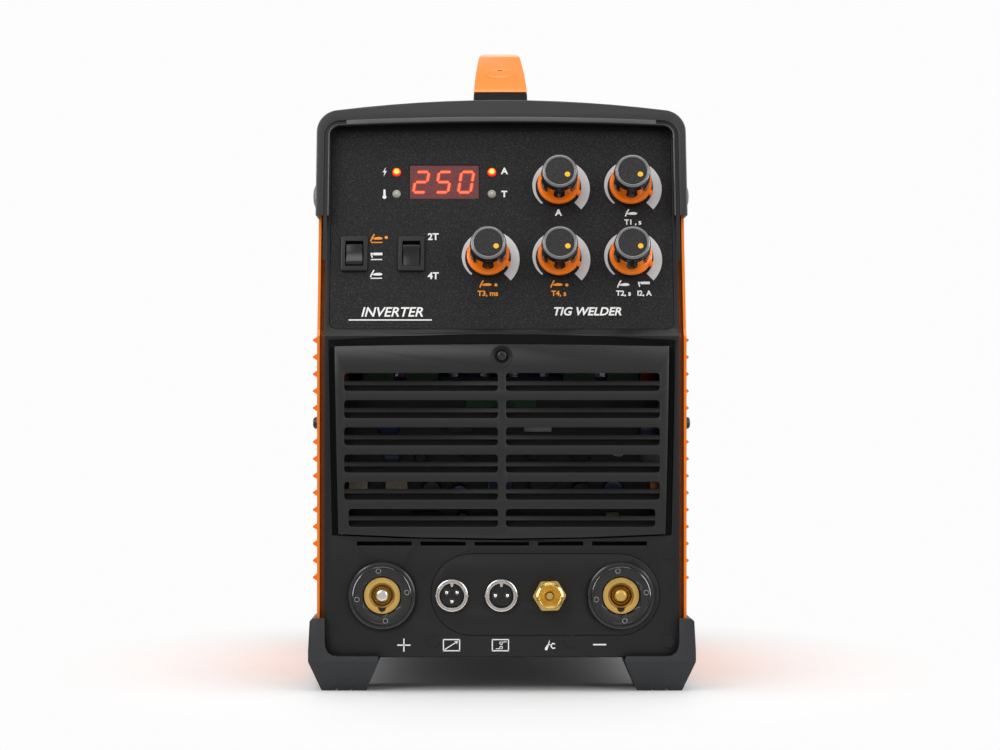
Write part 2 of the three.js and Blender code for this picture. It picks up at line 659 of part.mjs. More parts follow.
// The rocker leans about X at its pivot; lean is +1 with its upper end pressed in.
function makeRocker(lean) {
  const profile = outline([
    [-3.4, 5.9],
    [-4.4, 6],
    [-5.2, 5.7],
    [-3.6, 0],
    [-5.2, -5.7],
    [-4.4, -6],
    [-3.4, -5.9],
    [2, -3],
    [2, 3],
  ]);
  return alongX(profile, -4.7, 4.7).rotateX(-lean * ROCKER_TILT).translate(0, 2.2, 0);
}

function makeLamp() {
  return turnedY([[0, -1.8], [1.7, -1.3], [2.45, -0.2], [2.45, 7], [0, 7]], 0, 0, 8);
}

function makeDisplay() {
  const { half, halfHeight } = DISPLAY;
  return box(-half + GAP, half - GAP, 0.4, 9, -halfHeight + GAP, halfHeight - GAP);
}

function makeControlBoard() {
  const shape = outline([[-70, 60], [-28, 60], [-28, 22], [88, 22], [88, 110], [-70, 110]]);
  const parts = [alongY(shape, 14, 15.6)];
  const shafts = [];
  for (const [x, v] of Object.values(KNOBS)) {
    parts.push(box(x - 8, x + 8, 5, 14.5, v - 9, v + 8));
    shafts.push(rodY(x, v, 0, 11, KNOB.shaft + GAP + 0.1, 8));
  }
  parts.push(box(-50, -20, 15, 22, 84, 104));
  parts.push(box(0, 22, 15, 19, 30, 50));
  return cut(join(...parts), ...shafts);
}

function placeOnPanel(name, shape, material, x, v) {
  const mesh = addPiece(panel, name, shape, material);
  mesh.position.set(x, 0, v);
  return mesh;
}

function addPanelPieces() {
  addPiece(panel, "control_panel", makePanelPlate(), LOOKS.black);
  addPiece(panel, "control_board", makeControlBoard(), LOOKS.board);
  for (const [name, [x, v]] of Object.entries(KNOBS)) {
    placeOnPanel(`${name}_knob`, makeKnob(), LOOKS.black, x, v);
    placeOnPanel(`${name}_skirt`, makeSkirt(KNOB_REST), LOOKS.orange, x, v);
  }
  for (const [name, [x, v, lean]] of Object.entries(SWITCHES)) {
    placeOnPanel(`${name}_switch_housing`, makeSwitchHousing(), LOOKS.black, x, v);
    placeOnPanel(`${name}_switch_rocker`, makeRocker(lean), LOOKS.rubber, x, v);
  }
  placeOnPanel("display_module", makeDisplay(), LOOKS.red, DISPLAY.x, DISPLAY.v);
  for (const [name, [x, v]] of Object.entries(LAMPS)) {
    const lit = name === "mains_lamp" || name === "current_lamp";
    placeOnPanel(name, makeLamp(), lit ? LOOKS.lampRed : LOOKS.lampGrey, x, v);
  }
}

// Rear face and what is on it.
function makeRearPanel() {
  const half = COVER.half - COVER.sheet - GAP;
  const crest = COVER.crest - COVER.sheet - GAP;
  const plate = alongY(archedOutline(half, 19.1, crest, COVER.arch - 2, 8), BACK_Y - 14, BACK_Y);
  const inner = archedOutline(half - 1.5, 20.6, crest - 1.5, COVER.arch - 3, 7);
  const hollow = alongY(inner, BACK_Y - 20, BACK_Y - 2);
  const slots = [];
  for (let radius = 23; radius < 54; radius += 11) {
    slots.push(ringY(0, FAN.z, BACK_Y - 5, BACK_Y + 1, radius, radius + 7.5, 16));
  }
  const spokes = [0, HALF_PI].map((turn) =>
    box(-70, 70, BACK_Y - 6, BACK_Y + 2, -2.5, 2.5).rotateY(turn + Math.PI / 4).translate(0, 0, FAN.z),
  );
  const openings = [
    cut(join(...slots), ...spokes),
    box(POWER.x - 11.2, POWER.x + 11.2, BACK_Y - 5, BACK_Y + 1, POWER.z - 15.2, POWER.z + 15.2),
    rodY(GLAND.x, GLAND.z, BACK_Y - 5, BACK_Y + 1, 8 + GAP, 12),
    rodY(INLET.x, INLET.z, BACK_Y - 5, BACK_Y + 1, 5 + GAP, 12),
    rodY(STUD.x, STUD.z, BACK_Y - 5, BACK_Y + 1, 3 + GAP, 8),
  ];
  return cut(plate, hollow, ...openings);
}

function makeFanHousing() {
  const { z, half, bore, depth, hub } = FAN;
  const y1 = BACK_Y - 2 - GAP;
  const y0 = y1 - depth;
  const square = alongY(roundedBox(half, z - half, z + half, 5), y0, y1, 3);
  const frame = cut(square, rodY(0, z, y0 - 1, y1 + 1, bore, 28));
  const struts = [0, 1, 2].map((i) =>
    box(-2, 2, y0, y0 + 3, 0, bore + 1).rotateY((i * 2 * Math.PI) / 3).translate(0, 0, z),
  );
  return join(frame, ...struts, rodY(0, z, y0, y0 + 3, hub, 16));
}

function makeFanRotor() {
  const { z, bore, hub, blades, depth } = FAN;
  const y1 = BACK_Y - 4 - GAP;
  const y0 = y1 - depth + 6;
  const parts = [rodY(0, 0, y0, y1, hub, 16)];
  for (let i = 0; i < blades; i += 1) {
    const blade = new THREE.BoxGeometry(24, 1.6, bore - hub - 1.5, 1, 1, 3);
    const place = blade.attributes.position;
    for (let n = 0; n < place.count; n += 1) {
      const up = place.getZ(n) / (bore - hub);
      const twist = 0.62 - 0.35 * up;
      const across = place.getX(n) * (1 + 0.25 * up);
      const thick = place.getY(n);
      place.setX(n, across * Math.cos(twist) - thick * Math.sin(twist));
      place.setY(n, (across * Math.sin(twist) + thick * Math.cos(twist)) * 0.95);
    }
    parts.push(
      blade
        .translate(0, (y0 + y1) / 2, hub - 1 + (bore - hub - 1.5) / 2)
        .rotateY((i * 2 * Math.PI) / blades),
    );
  }
  return join(...parts).translate(0, 0, z);
}

function makePowerSwitch() {
  const { x, z } = POWER;
  const rim = box(x - 13.5, x + 13.5, BACK_Y + GAP, BACK_Y + 2.3, z - 18, z + 18);
  const body = box(x - 10.9, x + 10.9, BACK_Y - 22, BACK_Y + 1, z - 14.9, z + 14.9);
  return cut(join(rim, body), box(x - 9, x + 9, BACK_Y - 14, BACK_Y + 5, z - 12.5, z + 12.5));
}

function makePowerRocker() {
  const profile = [
    [4.4, 10.4],
    [5.6, 10.4],
    [6.6, 9.9],
    [4.6, 0],
    [6.6, -9.9],
    [5.6, -10.4],
    [4.4, -10.4],
    [-4, -5],
    [-4, 5],
  ];
  return alongX(outline(profile), -8.7, 8.7).rotateX(-ROCKER_TILT);
}

function makeGland() {
  const { x, z } = GLAND;
  const f = BACK_Y + GAP;
  const hex = (y0, y1, radius) =>
    new THREE.CylinderGeometry(radius, radius, y1 - y0, 6).translate(x, (y0 + y1) / 2, z);
  const profile = [
    [0, f - 18],
    [7.9, f - 18],
    [7.9, f + 3],
    [9, f + 6],
  ];
  for (let i = 0; i < 4; i += 1) {
    const angle = (i * HALF_PI) / 3;
    profile.push([5 + 4 * Math.cos(angle), f + 14 + 5.6 * Math.sin(angle)]);
  }
  profile.push([0, f + 19.6]);
  const nuts = join(hex(f, f + 5, 12), hex(f + 6.5, f + 13, 11));
  return cut(join(nuts, turnedY(profile, x, z, 12)), rodY(x, z, f - 20, f + 30, 4.2, 10));
}

function makeGasInlet() {
  const f = BACK_Y + GAP;
  const { x, z } = INLET;
  const hex = new THREE.CylinderGeometry(8.5, 8.5, 5, 6).translate(x, f + 2.5, z);
  const tail = [[0, f - 16], [4.9, f - 16], [4.9, f + 7], [3.6, f + 8]];
  for (let i = 0; i < 3; i += 1) {
    tail.push([4.6, f + 9 + i * 3.2], [3.6, f + 11.6 + i * 3.2]);
  }
  tail.push([0, f + 18]);
  return cut(join(hex, turnedY(tail, x, z, 12)), rodY(x, z, f - 20, f + 30, 2.2, 8));
}

function makeEarthStud() {
  const f = BACK_Y + GAP;
  const { x, z } = STUD;
  const nut = new THREE.CylinderGeometry(5.8, 5.8, 5, 6).translate(x, f + 4.1, z);
  const washer = rodY(x, z, f, f + 1.7, 7, 12);
  return join(washer, nut, rodY(x, z, f - 10, f + 14, 2.9, 10));
}

// Power electronics.
function makePowerBoard() {
  const parts = [box(-90, 90, -185, 110, 170, 171.6)];
  for (const x of [-70, -45, 45, 70]) {
    parts.push(box(x - 9, x + 9, -170, -145, 171, 189));
  }
  parts.push(box(-85, -35, 40, 90, 171, 196), box(35, 85, 40, 90, 171, 190));
  parts.push(box(-20, 20, -178, -150, 158, 171));
  return join(...parts);
}

function makeHeatSink(side) {
  const base = box(32, 92, -165, 60, 155, 161);
  const fins = [];
  for (let i = 0; i < 8; i += 1) {
    const x = 33 + i * 8;
    fins.push(box(x, x + 1.8, -165, 60, 58, 156));
  }
  const sink = join(base, ...fins, box(32, 92, -60, -50, 100, 157));
  return side < 0 ? join(sink).mirror([1, 0, 0]) : sink;
}

function makeTransformer() {
  const core = cut(box(-27, 27, -10, 50, 45, 115), box(-16, 16, -20, 60, 57, 103));
  const coil = cut(alongY(roundedBox(24, 60, 100, 8), -22, 62, 3), box(-9, 9, -30, 70, 70, 90));
  return join(core, coil, box(-15, 15, 10, 30, 80, 104));
}

function makeChoke() {
  const ring = ringY(0, 88, -110, -80, 11, 26, 20);
  const turns = [];
  for (let i = 0; i < 9; i += 1) {
    turns.push(box(-4, 4, -113, -77, 12, 28.5).rotateY((i * 2 * Math.PI) / 9).translate(0, 0, 88));
  }
  return join(ring, ...turns, box(-14, 14, -108, -82, 52, 64));
}

function makeCapacitors() {
  const cans = [];
  for (const x of [-54, -18, 18, 54]) {
    const can = new THREE.CylinderGeometry(16, 16, 46, 14).rotateX(HALF_PI).translate(x, -60, 199);
    cans.push(can);
  }
  return join(box(-74, 74, -80, -40, 173, 177), ...cans);
}

function makeGasValve() {
  const coil = box(-30, -2, 90, 122, 200, 232);
  const ports = [rodY(-16, 208, 80, 132, 5, 10), rodY(-16, 208, 74, 138, 3.2, 8)];
  return join(coil, box(-26, -6, 86, 126, 194, 202), ...ports);
}

function addChassisPieces() {
  addPiece(group, "base_tray", makeTray(), LOOKS.darkSteel);
  addPiece(group, "outer_cover", makeCover(), LOOKS.orange);
  addPiece(group, "front_fascia", makeFascia(), LOOKS.black);
  addPiece(group, "connector_plate", makeConnectorPlate(), LOOKS.black);
  addPiece(group, "front_hood", makeFrontHood(), LOOKS.black);
  addPiece(group, "rear_hood", makeRearHood(), LOOKS.black);
  addPiece(group, "air_grille", makeGrille(), LOOKS.black);
  addPiece(group, "grille_screw", makeGrilleScrew(), LOOKS.steel);
  addPiece(group, "handle_base", makeHandle(false), LOOKS.black);
  addPiece(group, "handle_grip_cover", makeHandle(true), LOOKS.orange);
  for (const [end, word] of [[-1, "front"], [1, "rear"]]) {
    addPiece(group, `${word}_left_foot`, makeFoot(-1, end), LOOKS.rubber);
    addPiece(group, `${word}_right_foot`, makeFoot(1, end), LOOKS.rubber);
  }
}

function addConnectors() {
  for (const [name, x] of Object.entries(SOCKET_X)) {
    addPiece(group, `${name}_socket_body`, makeSocketBody(x), LOOKS.black);
    addPiece(group, `${name}_socket_contact`, makeSocketContact(x), LOOKS.brass);
  }
  const pins = { remote: [[-2.9, 1.7], [2.9, 1.7], [0, -3.6]], torch: [[-2.9, 0], [2.9, 0]] };
  for (const [name, x] of Object.entries(SMALL_SOCKET_X)) {
    addPiece(group, `${name}_socket_shell`, makeSmallShell(x), LOOKS.nickel);
    addPiece(group, `${name}_socket_insert`, makeSmallInsert(x, pins[name]), LOOKS.rubber);
  }
  addPiece(group, "gas_outlet", makeGasOutlet(), LOOKS.brass);
}

function addRearPieces() {
  addPiece(group, "rear_panel", makeRearPanel(), LOOKS.darkSteel);
  addPiece(group, "fan_housing", makeFanHousing(), LOOKS.black);
  addPiece(group, "fan_rotor", makeFanRotor(), LOOKS.black);
  addPiece(group, "power_switch_housing", makePowerSwitch(), LOOKS.black);
  const rocker = addPiece(group, "power_switch_rocker", makePowerRocker(), LOOKS.rubber);
  rocker.position.set(POWER.x, BACK_Y - 1.5, POWER.z);
  addPiece(group, "mains_gland", makeGland(), LOOKS.black);
  addPiece(group, "gas_inlet", makeGasInlet(), LOOKS.brass);
  addPiece(group, "earth_stud", makeEarthStud(), LOOKS.brass);
}

function addPowerPieces() {
  addPiece(group, "power_board", makePowerBoard(), LOOKS.board);
  addPiece(group, "heat_sink_left", makeHeatSink(-1), LOOKS.aluminium);
  addPiece(group, "heat_sink_right", makeHeatSink(1), LOOKS.aluminium);
  addPiece(group, "main_transformer", makeTransformer(), LOOKS.copper);
  addPiece(group, "output_choke", makeChoke(), LOOKS.copper);
  addPiece(group, "capacitor_bank", makeCapacitors(), LOOKS.blue);
  addPiece(group, "gas_valve", makeGasValve(), LOOKS.steel);
}

addChassisPieces();
addPanelPieces();
addConnectors();
addRearPieces();
addPowerPieces();

export default group;
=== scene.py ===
"""A portable TIG welding inverter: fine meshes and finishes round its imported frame.

Metres. X is to the right seen from the front, Y to the back and Z up, as in the frame.
"""

import json
import logging
import math
import random
from collections.abc import Callable
from dataclasses import dataclass
from enum import Enum

import bpy
from mathutils import Matrix, Vector


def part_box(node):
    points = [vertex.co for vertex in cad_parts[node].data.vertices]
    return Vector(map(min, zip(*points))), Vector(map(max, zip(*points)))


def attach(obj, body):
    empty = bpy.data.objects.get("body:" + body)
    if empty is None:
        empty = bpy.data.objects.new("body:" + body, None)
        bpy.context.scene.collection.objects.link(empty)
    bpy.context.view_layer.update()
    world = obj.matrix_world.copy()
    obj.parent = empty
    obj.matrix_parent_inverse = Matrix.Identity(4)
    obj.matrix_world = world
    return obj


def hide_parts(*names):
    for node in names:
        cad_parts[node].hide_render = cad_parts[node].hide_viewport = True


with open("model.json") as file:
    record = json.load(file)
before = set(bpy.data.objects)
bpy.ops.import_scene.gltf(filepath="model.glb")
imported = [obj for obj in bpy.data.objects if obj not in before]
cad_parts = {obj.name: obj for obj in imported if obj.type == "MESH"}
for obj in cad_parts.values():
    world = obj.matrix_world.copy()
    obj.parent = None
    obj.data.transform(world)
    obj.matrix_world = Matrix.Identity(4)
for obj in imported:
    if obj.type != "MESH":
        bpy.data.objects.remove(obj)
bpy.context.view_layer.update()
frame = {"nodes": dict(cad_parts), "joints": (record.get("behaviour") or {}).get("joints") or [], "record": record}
LOG = logging.getLogger("welder")
MM = 0.001
CHASSIS = "chassis"

Point = tuple[float, float]
Colour = tuple[float, float, float]


# ---------------------------------------------------------------- modelling

def clear_selection() -> None:
    """Leaves edit mode and selects nothing."""
    if bpy.context.mode != "OBJECT":
        bpy.ops.object.mode_set(mode="OBJECT")
    bpy.ops.object.select_all(action="DESELECT")


def pick(piece: bpy.types.Object) -> None:
    """Makes one object the active and only selected one."""
    clear_selection()
    piece.select_set(True)
    bpy.context.view_layer.objects.active = piece


def edit_all(piece: bpy.types.Object) -> None:
    """Opens a piece in edit mode with everything selected."""
    pick(piece)
    bpy.ops.object.mode_set(mode="EDIT")
    bpy.ops.mesh.select_mode(type="VERT")
    bpy.ops.mesh.select_all(action="SELECT")


def settle(piece: bpy.types.Object, place: Matrix | None = None) -> bpy.types.Object:
    """Moves an object's place into its mesh, so that the object sits at the origin.

    Args:
        piece: The object to settle.
        place: A further transform, from the piece's own space to the frame.

    Returns:
        The same object.
    """
    clear_selection()
    bpy.context.view_layer.update()
    world = piece.matrix_world.copy()
    piece.data.transform(place @ world if place else world)
    piece.matrix_world = Matrix.Identity(4)
    if (place @ world if place else world).determinant() < 0:
        piece.data.flip_normals()
    return piece


def chain(name: str, points: list[Vector]) -> bpy.types.Object:
    """A wire drawn point by point with the extrude tool; it is left open in edit mode.

    Args:
        name: Name of the new object.
        points: Places of its vertices, in order.

    Returns:
        The new object, all selected.
    """
    clear_selection()
    bpy.ops.mesh.primitive_plane_add(size=MM, location=(0, 0, 0))
    piece = bpy.context.active_object
    piece.name = name
    edit_all(piece)
    bpy.ops.mesh.merge(type="CENTER")
    bpy.ops.transform.translate(value=points[0])
    for start, end in zip(points, points[1:]):
        bpy.ops.mesh.extrude_region_move(TRANSFORM_OT_translate={"value": end - start})
    bpy.ops.mesh.select_all(action="SELECT")
    return piece


def clean_mesh() -> None:
    """Merges doubles and turns all faces outwards, in edit mode."""
    bpy.ops.mesh.select_all(action="SELECT")
    bpy.ops.mesh.remove_doubles(threshold=MM * 0.002)
    bpy.ops.mesh.normals_make_consistent(inside=False)


def turned(name: str, profile: list[Point], steps: int = 48) -> bpy.types.Object:
    """A turned piece about its own Z axis.

    Args:
        name: Name of the new object.
        profile: Radius and height in millimetres, from one end of the outline to the other.
        steps: Facets round the axis.

    Returns:
        The new object.
    """
    piece = chain(name, [Vector((radius * MM, 0, height * MM)) for radius, height in profile])
    bpy.ops.mesh.spin(steps=steps, angle=2 * math.pi, center=(0, 0, 0), axis=(0, 0, 1))
    clean_mesh()
    clear_selection()
    return piece


def prism(name: str, outline: list[Point], depth: float, bevel: float = 0.0) -> bpy.types.Object:
    """A flat outline in its own X and Y, filled and extruded towards +Z.

    Args:
        name: Name of the new object.
        outline: Corner points in millimetres.
        depth: Height of the piece in millimetres.
        bevel: Width of the rounded edges in millimetres, or 0.

    Returns:
        The new object.
    """
    piece = chain(name, [Vector((x * MM, y * MM, 0)) for x, y in outline])
    bpy.ops.mesh.edge_face_add()
    bpy.ops.mesh.extrude_region_move(TRANSFORM_OT_translate={"value": (0, 0, depth * MM)})
    clean_mesh()
    if bevel:
        bevel_edges(piece, bevel)
    clear_selection()
    return piece


def bevel_edges(piece: bpy.types.Object, width: float, segments: int = 2, angle: float = 32.0) -> None:
    """Rounds a piece's sharp edges with an applied Bevel modifier.

    Args:
        piece: The object.
        width: Width in millimetres.
        segments: Steps of the round.
        angle: Edges sharper than this many degrees are rounded.
    """
    pick(piece)
    modifier = piece.modifiers.new("Bevel", "BEVEL")
    modifier.width = width * MM
    modifier.segments = segments
    modifier.limit_method = "ANGLE"
    modifier.angle_limit = math.radians(angle)
    modifier.miter_outer = "MITER_ARC"
    bpy.ops.object.modifier_apply(modifier=modifier.name)


def block(name: str, size: tuple[float, float, float], bevel: float = 0.0) -> bpy.types.Object:
    """A block centred on its own origin, with rounded edges; sizes are in millimetres."""
    clear_selection()
    bpy.ops.mesh.primitive_cube_add(size=1, location=(0, 0, 0))
    piece = bpy.context.active_object
    piece.name = name
    edit_all(piece)
    bpy.ops.transform.resize(value=[side * MM for side in size])
    clear_selection()
    if bevel:
        bevel_edges(piece, bevel)
    return piece


def smooth(piece: bpy.types.Object, angle: float = 35.0) -> None:
    """Smooths the shading between faces that meet at less than an angle in degrees."""
    pick(piece)
    bpy.ops.object.shade_smooth_by_angle(angle=math.radians(angle))
    clear_selection()


def copy_of(piece: bpy.types.Object, name: str) -> bpy.types.Object:
    """A copy of an object with a mesh of its own."""
    twin = bpy.data.objects.new(name, piece.data.copy())
    bpy.context.scene.collection.objects.link(twin)
    twin.matrix_world = piece.matrix_world.copy()
    return twin


def joined(name: str, pieces: list[bpy.types.Object]) -> bpy.types.Object:
    """Joins objects into one, which keeps each one's materials."""
    pick(pieces[0])
    for piece in pieces:
        piece.select_set(True)
    bpy.ops.object.join()
    whole = bpy.context.active_object
    whole.name = name
    clear_selection()
    return whole


def dress(piece: bpy.types.Object, material: bpy.types.Material) -> bpy.types.Object:
    """Gives a piece one material in its first slot."""
    piece.data.materials.clear()
    piece.data.materials.append(material)
    return piece


def arc(centre: Point, radius: float, start: float, end: float, steps: int) -> list[Point]:
    """Points of an arc, in millimetres; angles in degrees, counter-clockwise from +X."""
    angles = [math.radians(start + (end - start) * i / steps) for i in range(steps + 1)]
    return [(centre[0] + radius * math.cos(a), centre[1] + radius * math.sin(a)) for a in angles]


def rounded_rectangle(width: float, height: float, radius: float, steps: int = 5) -> list[Point]:
    """Outline of a rectangle with round corners, centred on the origin, in millimetres."""
    x, y = width / 2 - radius, height / 2 - radius
    corners = [((x, -y), -90), ((x, y), 0), ((-x, y), 90), ((-x, -y), 180)]
    return [point for centre, start in corners for point in arc(centre, radius, start, start + 90, steps)]


# ---------------------------------------------------------------- finishes

class Pattern(Enum):
    """The surface patterns that a finish can carry."""

    FINE = "fine moulded grain"
    LEATHER = "leather-like grain"
    SPECKLE = "speckled overlay"
    BRUSHED = "turned or milled metal"
    CAST = "rough cast"


def new_group(
    name: str, inputs: dict[str, tuple[str, object]], outputs: dict[str, str]
) -> bpy.types.NodeTree:
    """A shader node group with named sockets.

    Args:
        name: Name of the group.
        inputs: Socket name to its type and default value.
        outputs: Socket name to its type.

    Returns:
        The group, with its input and output nodes in place.
    """
    group = bpy.data.node_groups.new(name, "ShaderNodeTree")
    for label, (kind, default) in inputs.items():
        socket = group.interface.new_socket(label, in_out="INPUT", socket_type=kind)
        if default is not None:
            socket.default_value = default
    for label, kind in outputs.items():
        group.interface.new_socket(label, in_out="OUTPUT", socket_type=kind)
    group.nodes.new("NodeGroupInput").name = "In"
    group.nodes.new("NodeGroupOutput").name = "Out"
    return group


def noise(
    tree: bpy.types.NodeTree, vector: bpy.types.NodeSocket, scale: float | None, detail: float,
    rough: float = 0.5,
) -> bpy.types.ShaderNode:
    """Adds a noise texture.

    Args:
        tree: The node tree.
        vector: The socket that gives the place.
        scale: Scale of the noise, or None where a link sets it.
        detail: Octaves.
        rough: Share of the finer octaves.

    Returns:
        The noise node.
    """
    node = tree.nodes.new("ShaderNodeTexNoise")
    tree.links.new(vector, node.inputs["Vector"])
    if scale is not None:
        node.inputs["Scale"].default_value = scale
    node.inputs["Detail"].default_value = detail
    node.inputs["Roughness"].default_value = rough
    return node


def ramp(
    tree: bpy.types.NodeTree, value: bpy.types.NodeSocket, low: float, high: float,
    to_low: float = 0.0, to_high: float = 1.0,
) -> bpy.types.NodeSocket:
    """Adds a clamped map range from one span to another and returns its output socket."""
    node = tree.nodes.new("ShaderNodeMapRange")
    tree.links.new(value, node.inputs["Value"])
    for label, number in (("From Min", low), ("From Max", high), ("To Min", to_low), ("To Max", to_high)):
        node.inputs[label].default_value = number
    return node.outputs["Result"]


class SharedEffects:
    """The node groups that several finishes use."""

    def __init__(self) -> None:
        """Builds every group once."""
        self.tint = self._tint()
        self.grain = self._grain()
        self.scuffs = self._scuffs()

    def _tint(self) -> bpy.types.NodeTree:
        """A colour that drifts a little darker and lighter over the surface."""
        group = new_group(
            "Colour drift",
            {
                "Vector": ("NodeSocketVector", None),
                "Colour": ("NodeSocketColor", (1, 1, 1, 1)),
                "Drift": ("NodeSocketFloat", 0.1),
                "Scale": ("NodeSocketFloat", 20.0),
            },
            {"Colour": "NodeSocketColor"},
        )
        entry, exit_node = group.nodes["In"], group.nodes["Out"]
        cloud = noise(group, entry.outputs["Vector"], None, 4)
        group.links.new(entry.outputs["Scale"], cloud.inputs["Scale"])
        centred = group.nodes.new("ShaderNodeMath")
        centred.operation = "SUBTRACT"
        centred.inputs[1].default_value = 0.5
        group.links.new(cloud.outputs["Fac"], centred.inputs[0])
        amount = group.nodes.new("ShaderNodeMath")
        amount.operation = "MULTIPLY_ADD"
        amount.inputs[2].default_value = 1.0
        group.links.new(centred.outputs[0], amount.inputs[0])
        group.links.new(entry.outputs["Drift"], amount.inputs[1])
        shade = group.nodes.new("ShaderNodeVectorMath")
        shade.operation = "SCALE"
        group.links.new(entry.outputs["Colour"], shade.inputs[0])
        group.links.new(amount.outputs[0], shade.inputs["Scale"])
        group.links.new(shade.outputs[0], exit_node.inputs["Colour"])
        return group

    def _grain(self) -> bpy.types.NodeTree:
        """A moulded grain: a normal and a mask of its pits."""
        group = new_group(
            "Moulded grain",
            {
                "Vector": ("NodeSocketVector", None),
                "Scale": ("NodeSocketFloat", 900.0),
                "Cells": ("NodeSocketFloat", 0.5),
                "Strength": ("NodeSocketFloat", 0.3),
            },
            {"Normal": "NodeSocketVector", "Pits": "NodeSocketFloat"},
        )
        entry, exit_node = group.nodes["In"], group.nodes["Out"]
        cells = group.nodes.new("ShaderNodeTexVoronoi")
        cells.feature = "SMOOTH_F1"
        group.links.new(entry.outputs["Vector"], cells.inputs["Vector"])
        group.links.new(entry.outputs["Scale"], cells.inputs["Scale"])
        fine = noise(group, entry.outputs["Vector"], None, 3, 0.6)
        group.links.new(entry.outputs["Scale"], fine.inputs["Scale"])
        blend = group.nodes.new("ShaderNodeMix")
        group.links.new(entry.outputs["Cells"], blend.inputs["Factor"])
        group.links.new(fine.outputs["Fac"], blend.inputs["A"])
        group.links.new(cells.outputs["Distance"], blend.inputs["B"])
        bump = group.nodes.new("ShaderNodeBump")
        bump.inputs["Distance"].default_value = 0.15 * MM
        group.links.new(entry.outputs["Strength"], bump.inputs["Strength"])
        group.links.new(blend.outputs["Result"], bump.inputs["Height"])
        group.links.new(bump.outputs["Normal"], exit_node.inputs["Normal"])
        group.links.new(ramp(group, blend.outputs["Result"], 0.3, 0.7), exit_node.inputs["Pits"])
        return group

    def _scuffs(self) -> bpy.types.NodeTree:
        """A mask of faint handling marks: long thin streaks broken up by a cloud."""
        group = new_group(
            "Handling marks",
            {"Vector": ("NodeSocketVector", None), "Amount": ("NodeSocketFloat", 0.3)},
            {"Mask": "NodeSocketFloat"},
        )
        entry, exit_node = group.nodes["In"], group.nodes["Out"]
        stretch = group.nodes.new("ShaderNodeMapping")
        stretch.inputs["Scale"].default_value = (14, 14, 260)
        stretch.inputs["Rotation"].default_value = (0.4, 0.7, 0.2)
        group.links.new(entry.outputs["Vector"], stretch.inputs["Vector"])
        streaks = noise(group, stretch.outputs["Vector"], 1.0, 5, 0.65)
        cloud = noise(group, entry.outputs["Vector"], 16.0, 3)
        lines = ramp(group, streaks.outputs["Fac"], 0.6, 0.72)
        patches = ramp(group, cloud.outputs["Fac"], 0.5, 0.65)
        product = group.nodes.new("ShaderNodeMath")
        product.operation = "MULTIPLY"
        group.links.new(lines, product.inputs[0])
        group.links.new(patches, product.inputs[1])
        scaled = group.nodes.new("ShaderNodeMath")
        scaled.operation = "MULTIPLY"
        group.links.new(product.outputs[0], scaled.inputs[0])
        group.links.new(entry.outputs["Amount"], scaled.inputs[1])
        group.links.new(scaled.outputs[0], exit_node.inputs["Mask"])
        return group


EFFECTS = SharedEffects()


